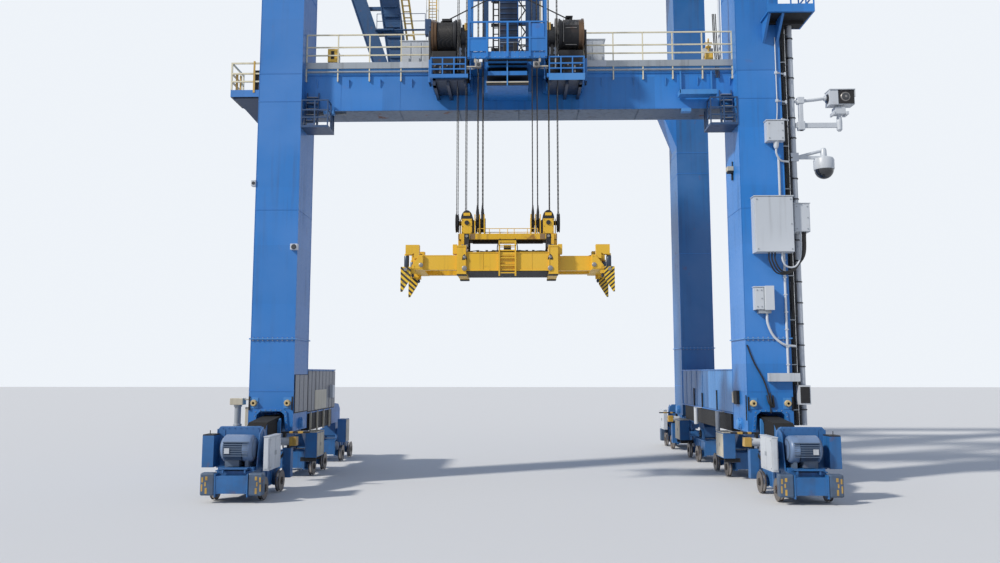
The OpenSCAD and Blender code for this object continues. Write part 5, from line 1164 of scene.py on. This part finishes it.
cowl = [(-0.582, 0.001), (-0.582, 0.3), (-0.56, 0.37), (-0.52, 0.44), (-0.46, 0.478), (-0.24, 0.484), (-0.23, 0.46),
        (-0.23, 0.001)]
bell = [(0.42, 0.001), (0.42, 0.462), (0.45, 0.474), (0.49, 0.46), (0.55, 0.38), (0.582, 0.22), (0.582, 0.001)]
arc = np.radians(np.linspace(28, 152, 25))
hood = [(MY + r * np.cos(t), MZ + r * np.sin(t)) for r, row in ((0.487, arc), (0.4, arc[::-1])) for t in row]
add("hood", turned(cowl, (0, MY, MZ), sides=48), turned(bell, (0, MY, MZ), sides=48), plate(hood, -0.24, 0.46, "yz"))
add("drum", solid([(-0.24, 0.447), (0.43, 0.447)], (0, MY, MZ), sides=40),
    boxes([-0.1, MY - 0.3, 1.2, 0.3, MY + 0.3, 1.42]))
levels = np.arange(MZ - 0.36, MZ + 0.23, 0.036)
add("fins", boxes(*[[-0.225, MY - 0.476, z, 0.41, MY - 0.2, z + 0.013] for z in levels]))
add("pale", boxes([0.2, MY - 0.505, 1.66, 0.38, MY - 0.44, 1.85]))
add("fins", boxes([0.24, MY - 0.487, 1.69, 0.26, MY - 0.48, 1.82], [0.3, MY - 0.487, 1.69, 0.32, MY - 0.48, 1.82]))
gear_plate = [(-0.91, 1.07), (1.01, 1.07), (1.01, 2.405), (0.885, 2.55), (-0.565, 2.55), (-0.71, 2.405)]
side_plate = [(-11.42, 1.08), (-11.16, 2.34), (-10.77, 2.53), (-10.77, 1.08)]
add("gear", plate(gear_plate, -10.772, -10.6), plate(side_plate, -0.7, -0.66, "yz"),
    boxes([-0.99, -10.95, 1.36, -0.7, -10.85, 1.43], [-0.99, -10.95, 1.08, -0.93, -10.85, 1.36]),
    boxes([-0.638, MY - 0.338, 1.07, 0.638, MY + 0.338, 1.178], [-0.44, MY - 0.6, 1.0, -0.38, MY - 0.5, 1.16],
          [0.34, MY - 0.6, 1.0, 0.4, MY - 0.5, 1.16], [-0.5, MY - 0.62, 1.13, 0.46, MY - 0.3, 1.18],
          *[[x, -10.79, 1.12, x + 0.03, -10.76, 2.46] for x in (-0.55, 0.7, 0.97)],
          [0.892, -11.378, 1.142, 1.308, -10.752, 2.258]))
add("dark", boxes([0.9, -11.37, 2.258, 1.3, -10.78, 2.3], [-0.3, MY - 0.42, 0.95, 0.3, MY - 0.2, 1.07]),
    rods(0.015, [1.1, -11.2, 2.3, 1.1, -11.2, 2.44]))
add("gear", bolts(0.02, 0.03, (0, -1, 0), *[(x, -10.772, 2.49) for x in np.linspace(-0.5, 0.8, 7)]))
piece("motor_hoods", hood_paint, *made["hood"], smooth=True)
piece("motor_drums", motor_paint, *made["drum"], smooth=True)
piece("motor_fins", blue_shaded, *made["fins"])
piece("gear_plates", blue_shade_and_wear, *made["gear"], bevel=0.006)
piece("motor_terminal_covers", cabinet, *made["pale"], bevel=0.004)
print("motors made")

# %% Cabinets, rollers and second cases
add("case", boxes([-1.17, -11.54, 2.22, -0.93, -10.1, 2.25]))
add("doors", boxes([-1.168, -11.48, 1.1, -1.15, -10.84, 2.18], [-1.168, -10.8, 1.1, -1.15, -10.16, 2.18],
                   [-1.12, -11.538, 1.1, -0.98, -11.52, 2.18]))
add("trim", boxes([-1.185, -10.9, 1.55, -1.168, -10.87, 1.7], [-1.185, -10.77, 1.55, -1.168, -10.74, 1.7],
                  *[[-1.18, y, z, -1.168, y + 0.04, z + 0.04] for y in (-11.45, -10.22) for z in (1.14, 2.1)]))
add("roller", rods(0.17, [-0.98, -8.2, 1.81, -0.6, -8.2, 1.81], sides=20),
    rods(0.09, [-1.05, -8.2, 1.81, -0.5, -8.2, 1.81], sides=14))
add("roller_end", boxes([-1.25, -8.38, 1.64, -0.98, -8.02, 1.99]),
    boxes([-1.5, -8.32, 2.12, -1.3, -8.14, 2.2], [-1.1, -8.32, 2.12, -0.96, -8.14, 2.2]))
add("dark", boxes([-1.75, -8.3, 2.13, -0.63, -8.16, 2.19], [-0.8, -8.3, 1.98, -0.7, -8.1, 2.13],
                  [-0.97, -8.3, 1.5, -0.87, -8.1, 1.66], [-1.3, -5.3, 0.72, -0.63, -5.2, 0.89],
                  [-1.3, -4.3, 0.72, -0.63, -4.2, 0.89]))
add("second", boxes([-1.05, -8.35, 0.42, -0.72, -8.0, 1.56], [-1.35, -5.4, 0.89, -0.85, -4.1, 1.95]))
add("second_door", boxes([-1.368, -5.36, 0.93, -1.35, -4.14, 1.91]),
    boxes([-1.355, -5.42, 1.95, -0.845, -4.08, 1.98]))
add("trim",
    boxes([-1.385, -4.77, 1.35, -1.368, -4.73, 1.5],
          *[[-1.38, y, z, -1.368, y + 0.04, z + 0.04] for y in (-5.32, -4.22) for z in (0.98, 1.82)]))
add("lug",
    *[plate([(a - 0.07, 1.9), (a + 0.07, 1.9), (a + 0.07, 2.5), (a + 0.02, 2.65), (a - 0.05, 2.7), (a - 0.07, 2.6)],
            -7.96, -7.88) for a in (-0.44, 0.44)])
rear_case, rear_door = boxes([-9.3, 1.6, 0.97, -8.87, 2.4, 2.13]), boxes([-8.87, 1.64, 1.0, -8.852, 2.36, 2.09])
piece("cabinet_roofs", cabinet, *made["case"], bevel=0.006)
piece("cabinet_doors", cabinet, *made["doors"], bevel=0.006)
piece("cabinet_trim", grey, *made["trim"])
piece("roller_drums", cabinet, *made["roller"], smooth=True)
piece("roller_ends", amber_paint, *made["roller_end"], bevel=0.01)
piece("second_cases", blue_shade_and_wear, *made["second"], rear_case, bevel=0.012)
piece("second_case_doors", beige, *made["second_door"], rear_door, bevel=0.006)
piece("foot_lugs", blue_pale, *made["lug"], bevel=0.01)
piece("drive_brackets", black, *made["dark"])
print("cabinets hung")

# %% Rounded buffers with yellow flashes
for s in (-1, 1):
    add("fender", boxes([s * 0.59, -12.035, 0.25, s * 1.1, -11.71, 1.03]))
    add("beam", boxes([s * 0.545, -12.05, 0.2, s * 0.59, -11.72, 1.0]))
    add("flash",
        boxes(*[[s * x, -12.041, z, s * (x + w), -12.03, z + h] for x, w, z,
                h in ((0.84, 0.07, 0.32, 0.2), (0.88, 0.05, 0.58, 0.14), (0.83, 0.08, 0.78, 0.13),
                      (1.0, 0.05, 0.4, 0.24), (0.98, 0.06, 0.71, 0.17))]))
add("beam", boxes([-0.585, -12.035, 0.32, 0.585, -11.71, 0.92]),
    bolts(0.02, 0.014, (0, -1, 0), *[(x, -12.035, z) for x in (-0.5, 0.5) for z in (0.4, 0.84)]))
fenders = piece("buffer_blocks", fender_paint, *made["fender"], bevel=0.055)
beams = piece("buffer_beams", blue_shade_and_wear, *made["beam"], bevel=0.006)
piece("buffer_flashes", amber_paint, *made["flash"])
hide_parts("buffers")
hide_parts("buffers")
print("buffers rounded")

# %% Bogie pipes and jack posts
lines = []
for track, end in ENDS:
    for i in range(3):
        lines.append(stand(tube([(-0.9, -10.7, 1.3 + 0.08 * i), (-0.78, -9.9, 1.16 + 0.05 * i),
                                 (-0.72, -8.9, 1.14 + 0.05 * i), (-0.74, -8.3, 1.3 + 0.05 * i),
                                 (-0.6, -7.9, 1.6 + 0.05 * i)], 0.02, sides=6, smooth=24), track, end))
piece("bogie_pipes", rubber, *lines, smooth=True)
jack = solid([(2.26, 0.17), (2.4, 0.17), (2.44, 0.13), (3.1, 0.13), (3.12, 0.16), (3.2, 0.16)], (-11.49, -7.2, 0),
             axis="z", sides=24)
piece("jack_post", grey, jack, smooth=True)
piece("jack_box", beige, boxes([-11.76, -7.42, 3.19, -11.22, -7.0, 3.46]),
      boxes([-11.22, -7.3, 3.38, -10.89, -7.2, 3.44], [-11.16, -7.3, 2.35, -11.0, -7.1, 3.1],
            [-11.6, -7.3, 2.2, -10.89, -7.1, 2.27]), bevel=0.02)
piece("end_post", cabinet, rods(0.1, *[[8.8, y, 1.97, 8.8, y, 2.76] for y in (-3.85, 0.65)], sides=12),
      boxes(*[[8.72, y - 0.1, 2.76, 9.2, y + 0.1, 2.8] for y in (-3.85, 0.65)]), smooth=True)
under = [boxes([track + s * 0.5, y0, 2.0, track + s * 0.87, y1, 2.74]) for track, y0,
         y1 in ((-10, -4.8, -0.6), (10, -4.9, 4.9)) for s in (-1, 1)]
piece("sill_underside_cases", black, *under, bevel=0.01)
# Black sheets across the feet's hollows: painted shadow inside the feet.
covers = [stand(shape, track, end) for track, end in ENDS for shape in (
    plate([(-9.21, 2.585), (-7.2, 2.757), (-7.2, 2.775), (-9.21, 2.6)], -0.365, 0.365, "yz"),
    plate([(-10.42, 1.7), (-9.21, 2.578), (-9.21, 2.6), (-10.44, 1.72)], -0.365, 0.365, "yz"),
    *[plate([(-9.2, 2.0), (-7.2, 2.0), (-7.2, 2.76), (-9.2, 2.59)], x, x + 0.008, "yz") for x in (-0.364, 0.356)])]
piece("foot_shadow_covers", shade_black, *covers)
print("bogies piped")

# %% [markdown]
# ## The right leg's cabinets, cables and cameras
# Control cabinets hang on the front of the right leg with cables looping out of them; a mast
# of pipe, ladder and bundled cable climbs beside it and carries two cameras on arms.

# %% Cabinets with lids, and looping cables
CASES = [(9.5, 11.05, -8.13, 9.3, 11.56), (11.15, 11.78, -7.9, 10.15, 11.3), (10.15, 10.88, -7.97, 13.9, 14.75),
         (9.45, 10.2, -7.93, 7.0, 7.9)]


def lid(x0, x1, y, z0, z1):
    """A plain lid on a face at y, with a bolt near each corner and a latch on the right."""
    points = [(x, y - 0.03, z) for x in (x0 + 0.08, x1 - 0.08) for z in (z0 + 0.1, z1 - 0.1)]
    return boxes([x0, y - 0.03, z0, x1, y - 0.006, z1]), bolts(0.032, 0.014, (0, -1, 0), *points,
                                                               (x1 - 0.07, y - 0.03, (z0 + z1) / 2))


leg_doors = [lid(x0 + 0.02, x1 - 0.02, y, z0 + 0.02, z1 - 0.02) for x0, x1, y, z0, z1 in CASES[:3]]
leg_doors += [lid(9.47, 9.8, -7.93, 7.02, 7.88),
              (boxes([9.84, -8.05, 6.98, 10.2, -7.936, 7.95]),
               boxes([9.8, -7.96, 7.0, 9.84, -7.936, 7.9], [9.6, -7.9, 6.86, 10.1, -7.66, 6.99]))]
piece("leg_case_doors", cabinet, *[d[0] for d in leg_doors], bevel=0.008)
piece("leg_case_trim", grey, *[d[1] for d in leg_doors])
piece("leg_case_roofs", cabinet, *[boxes([x0 - 0.03, y - 0.05, z1, x1 + 0.03, -7.66, z1 + 0.04]) for x0, x1, y, z0,
                                   z1 in CASES], bevel=0.01)
piece("leg_screen", black, boxes([11.14, -7.87, 3.3, 11.51, -7.85, 3.94]), bevel=0.01)
leg_cables = [tube([(10.06 + 0.12 * i, -8.0, 9.31), (10.07 + 0.12 * i, -8.0, 8.95),
                    (10.36 + 0.1 * i, -7.95, 8.48 + 0.04 * i), (10.95, -7.9, 8.5 + 0.05 * i),
                    (11.4 + 0.05 * i, -7.88, 9.1 + 0.03 * i), (11.48 + 0.06 * i, -7.84, 10.16)], 0.03, smooth=36)
              for i in range(3)]
leg_cables += [tube([(9.15, -7.68, 5.6), (9.4, -7.7, 4.9), (9.75, -7.72, 4.2), (9.95, -7.72, 3.5),
                     (10.0, -7.72, 2.9)], 0.03, smooth=30)]
leg_cables += [tube([(9.85 + 0.07 * i, -7.72, 3.6 + 0.05 * i), (9.9 + 0.05 * i, -7.8, 3.3),
                     (10.05 + 0.04 * i, -7.74, 3.15), (10.1, -7.7, 3.6)], 0.025, smooth=20) for i in range(3)]
piece("leg_cables", rubber, *leg_cables, smooth=True)
conduit = [tube([(10.7, -7.7, 18.4), (10.7, -7.7, 16.5), (10.7, -7.7, 15.4), (10.66, -7.7, 14.8)], 0.022, smooth=30),
           rods(0.05, [10.75, -7.69, 4.48, 10.75, -7.69, 9.3], [10.68, -7.69, 11.56, 10.68, -7.69, 13.3]),
           tube([(10.55, -7.85, 13.65), (10.56, -7.83, 13.4), (10.75, -7.75, 13.14), (11.12, -7.6, 13.12)], 0.04,
                smooth=24),
           tube([(10.58, -8.0, 9.31), (10.6, -8.0, 8.95), (10.8, -7.95, 8.72), (11.15, -7.9, 8.76),
                 (11.36, -7.88, 9.2), (11.4, -7.84, 10.16)], 0.035, smooth=36),
           tube([(9.95, -7.8, 6.9), (9.97, -7.8, 6.45), (10.2, -7.76, 5.95), (10.6, -7.74, 5.62), (11.1, -7.6, 5.55)],
                0.05, smooth=30),
           rods(0.035, [10.7, -7.7, 16.88, 11.15, -7.5, 16.88], [10.7, -7.7, 15.68, 11.15, -7.5, 15.68],
                [10.86, -7.72, 14.9, 11.2, -7.5, 14.9])]
piece("leg_conduits", cabinet, *conduit, smooth=True)
collars = boxes(*[[10.65, -7.75, z - 0.06, 10.75, -7.64, z + 0.06] for z in (16.88, 15.68)],
                *[[11.08, -7.56, z - 0.07, 11.17, -7.44, z + 0.07] for z in (16.88, 15.68)])
piece("leg_conduit_clips", cabinet, collars,
      boxes(*[[10.68, -7.75, z, 10.82, -7.65, z + 0.04] for z in np.arange(4.8, 9.2, 0.7)]), bevel=0.01)
gland = [solid([(14.75, 0.09), (14.79, 0.09)], (10.5, -7.8, 0), axis="z", sides=16),
         solid([(13.62, 0.07), (13.72, 0.11), (13.9, 0.11)], (10.55, -7.85, 0), axis="z", sides=16)]
piece("leg_glands", cabinet, *gland, smooth=True)
print(len(leg_cables), "cable runs on the leg")

# %% Mast: bundled cables, rungs and clips
MAST_X, MAST_Y, CLIP_Z = 11.46, -7.23, np.arange(3.0, 19, 0.86)
sway = [(0.008 * (k % 2 == 0), 0.01 * (k % 2 == 0), z) for k, z in enumerate(np.linspace(2.4, 19.05, 24))]
bundle = [tube([(10.95 + 0.045 * i + dx, -7.42 + 0.02 * (i % 3) + dy, z) for dx, dy, z in sway], 0.028, sides=6,
               smooth=60) for i in range(6)]
piece("mast_cables", rubber, *bundle, smooth=True)
rungs = rods(0.014, *[[11.15, MAST_Y, z, 11.34, MAST_Y, z] for z in np.arange(2.7, 19.0, 0.3)], sides=6)
clips = [turned([(z, 0.111), (z, 0.135), (z + 0.045, 0.135), (z + 0.045, 0.111)], (MAST_X, MAST_Y, 0), axis="z",
                sides=20) for z in CLIP_Z]
piece("mast_rungs", grey, rungs, smooth=True)
piece("mast_clips", dark, *clips, boxes(*[[11.3, -7.38, z + 0.01, 11.36, -7.2, z + 0.06] for z in CLIP_Z]),
      smooth=True)
piece("mast_side_rails", dark,
      boxes([11.14, -7.285, 2.4, 11.2, -7.175, 19.06], [11.285, -7.285, 2.4, 11.34, -7.175, 19.06],
            [11.06, -7.3, 2.4, 11.14, -7.27, 19.06]))
piece("mast_straps", grey, boxes(*[[10.9, -7.46, z, 11.17, -7.445, z + 0.04] for z in np.arange(3.0, 19.0, 1.8)]))
print(len(bundle), "cables in the bundle")

# %% Cameras
CAM_X, CAM_FRONT, CAM_LOW, CAM_TOP = (12.95, 13.98), -7.48, 15.58, 16.2
LENS_AT, DOME_AT, DOME_Z, DOME_R = (13.6, 0, 15.9), (12.69, MAST_Y, 0), 12.86, 0.383
hood = boxes([CAM_X[0] - 0.02, CAM_FRONT - 0.08, CAM_TOP - 0.01, CAM_X[1] + 0.02, -6.96, CAM_TOP + 0.03],
             [CAM_X[1] - 0.01, CAM_FRONT - 0.07, CAM_LOW + 0.3, CAM_X[1] + 0.02, CAM_FRONT, CAM_TOP + 0.03],
             [CAM_X[0] - 0.02, CAM_FRONT - 0.04, CAM_LOW - 0.02, 13.3, CAM_FRONT + 0.01, CAM_TOP])
piece("camera_hood", cabinet, hood,
      boxes([13.18, -7.42, 15.2, 13.62, -7.04, 15.5], [13.1, -7.45, 15.16, 13.18, -7.01, 15.3],
            [13.62, -7.45, 15.16, 13.74, -7.01, 15.3]), bevel=0.014)
piece("camera_recess", black,
      boxes([13.32, CAM_FRONT - 0.03, CAM_LOW + 0.03, 13.95, CAM_FRONT - 0.006, CAM_TOP - 0.02]))
piece("camera_lens_rings", steel_pin,
      turned([(CAM_FRONT - 0.05 + h, r) for h, r in ((0, 0.001), (0.0, 0.18), (0.02, 0.2), (0.04, 0.2),
      (0.04, 0.001))], LENS_AT, axis="y", sides=28), solid([(CAM_FRONT - 0.088, 0.05), (CAM_FRONT - 0.07, 0.05)],
                                                           LENS_AT, axis="y", sides=20), smooth=True)
piece("camera_lens", lens,
      turned([(CAM_FRONT - 0.075 + h, r) for h, r in ((0, 0.001), (0, 0.11), (0.02, 0.155), (0.03, 0.155),
      (0.03, 0.001))], LENS_AT, axis="y", sides=28),
      turned([(-0.05 + h, r) for h, r in ((0, 0.001), (0, 0.17), (0.03, 0.2), (0.045, 0.2), (0.045, 0.001))],
             (CAM_X[0], MAST_Y, 15.89), axis="x", sides=28), smooth=True)
bowl = [(DOME_Z - DOME_R * np.cos(t), max(DOME_R * np.sin(t), 0.001)) for t in np.linspace(0, np.pi / 2, 12)]
piece("dome_window", lens, turned(bowl + [(12.88, DOME_R), (12.88, 0.001)], DOME_AT, axis="z"), smooth=True)
piece("dome_collar", cabinet,
      turned([(12.86, 0.3), (12.86, 0.4), (12.9, 0.41), (13.26, 0.41), (13.34, 0.37), (13.4, 0.24), (13.42, 0.13),
              (13.7, 0.12), (13.78, 0.08), (13.78, 0.001), (12.86, 0.001)], DOME_AT, axis="z"), smooth=True)
arms = [rods(0.07, [11.6, MAST_Y, 15.78, 12.35, MAST_Y, 15.85], [12.35, MAST_Y, 15.85, 12.93, MAST_Y, 15.93]),
        rods(0.065, [11.58, MAST_Y, 13.4, 12.72, MAST_Y, 13.7], sides=12)]
piece("camera_upper_arm", cabinet, *arms, solid([(0, 0.12), (0.05, 0.13), (0.09, 0.08)], (12.82, MAST_Y, 15.92),
                                                sides=16), smooth=True)
piece("camera_link", cabinet, boxes([11.74, -7.33, 14.55, 11.9, -7.13, 15.95]),
      boxes([11.68, -7.36, 15.68, 11.95, -7.1, 15.96], [11.68, -7.36, 14.55, 11.95, -7.1, 14.92]), bevel=0.02)
piece("camera_brackets", cabinet, boxes([11.3, -7.37, 13.2, 11.62, -7.33, 13.56]),
      turned([(14.5, 0.001), (14.5, 0.06), (14.56, 0.11), (14.9, 0.12), (15.1, 0.1), (15.16, 0.001)],
             (13.4, MAST_Y, 0), axis="z", sides=20), bevel=0.006)
print("cameras dressed")

# %% [markdown]
# ## Left leg and the inner faces
# The left leg carries a small camera, a lamp, and a platform on a bracket with lattice stays.

# %% Left leg trim and platforms
left = [boxes([-11.1, -7.7, 12.2, -10.9, -7.45, 12.45], [-9.35, -7.85, 9.5, -9.05, -7.65, 9.75])]
piece("left_leg_lamps", cabinet, *left, bevel=0.015)
piece("left_leg_lenses", lens, solid([(-7.72, 0.06), (-7.69, 0.08)], (-11.0, 0, 12.32), axis="y", sides=18),
      solid([(-7.88, 0.09), (-7.85, 0.11)], (-9.2, 0, 9.62), axis="y", sides=18), smooth=True)
stays = [rods(0.03, [-12.0, y, 16.1, -10.92, y, 15.2], [-11.6, y, 16.1, -10.92, y, 15.5],
              [-12.1, y, 16.1, -11.4, y, 15.65]) for y in (-7.3, -6.05)]
piece("left_platform_stays", blue_shaded, *stays, smooth=True)
RAIL_LEVELS = (16.766, 17.114, 17.57)
sleeves = [[-12.206, -7.406, z - 0.006, -10.905, -7.344, z + 0.056] for z in RAIL_LEVELS]
sleeves += [[-12.206, -7.34, z - 0.006, -12.144, -5.894, z + 0.056] for z in RAIL_LEVELS]
sleeves += [[x - 0.007, y - 0.007, 16.425, x + 0.057, y + 0.057, 17.628] for x,
            y in ((-12.2, -7.4), (-10.95, -7.4), (-12.2, -5.95))]
piece("left_platform_rails", cream, boxes(*sleeves))
piece("left_platform_posts", amber_paint,
      boxes([-12.03, -7.3, 16.2, -11.95, -7.22, 17.2], [-11.86, -7.3, 16.2, -11.8, -7.22, 17.1],
            [-11.25, -7.42, 16.3, -11.17, -7.4, 17.68]))
# Near-black under the platform and on its bracket plate: painted shade.
piece("left_platform_underside_shade", navy_shade, boxes([-12.19, -7.39, 16.105, -10.91, -5.91, 16.114]),
      plate([(-12.05, 16.1), (-11.06, 15.03), (-10.905, 14.88), (-10.905, 16.1)], -7.354, -7.347))
piece("left_platform_box", black, boxes([-11.25, -7.35, 16.42, -10.92, -7.0, 17.3]), bevel=0.012)
grate = grating(-12.15, -10.95, -7.35, -5.95, 16.18), grating(10.2, 12.0, -8.65, -7.7, 19.14)
piece("leg_platform_gratings", grey, *grate)
# Black sheets under the right leg's platform: painted shade.
piece("leg_platform_underside_shade", black,
      boxes([10.22, -8.58, 19.065, 11.98, -6.97, 19.074], [10.3, -7.78, 18.95, 11.9, -7.7, 19.06]))
piece("inner_sensor", beige, boxes([8.84, -6.72, 12.98, 9.095, -6.42, 13.17]), bevel=0.01)
piece("inner_sensor_base", black,
      boxes([8.86, -6.7, 12.9, 9.095, -6.44, 12.975], [9.03, -6.62, 12.6, 9.095, -6.52, 12.9],
            [9.06, -6.6, 13.17, 9.095, -6.54, 13.4]))
print("left leg dressed")

# %% [markdown]
# ## Close the lesson
# The visual model's box is set beside the CAD box.

# %% Sizes and finish
keep_box = lambda pair: [[float(x) for x in corner] for corner in pair]
{"cad": keep_box(cad_box), "visual": keep_box(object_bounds())}
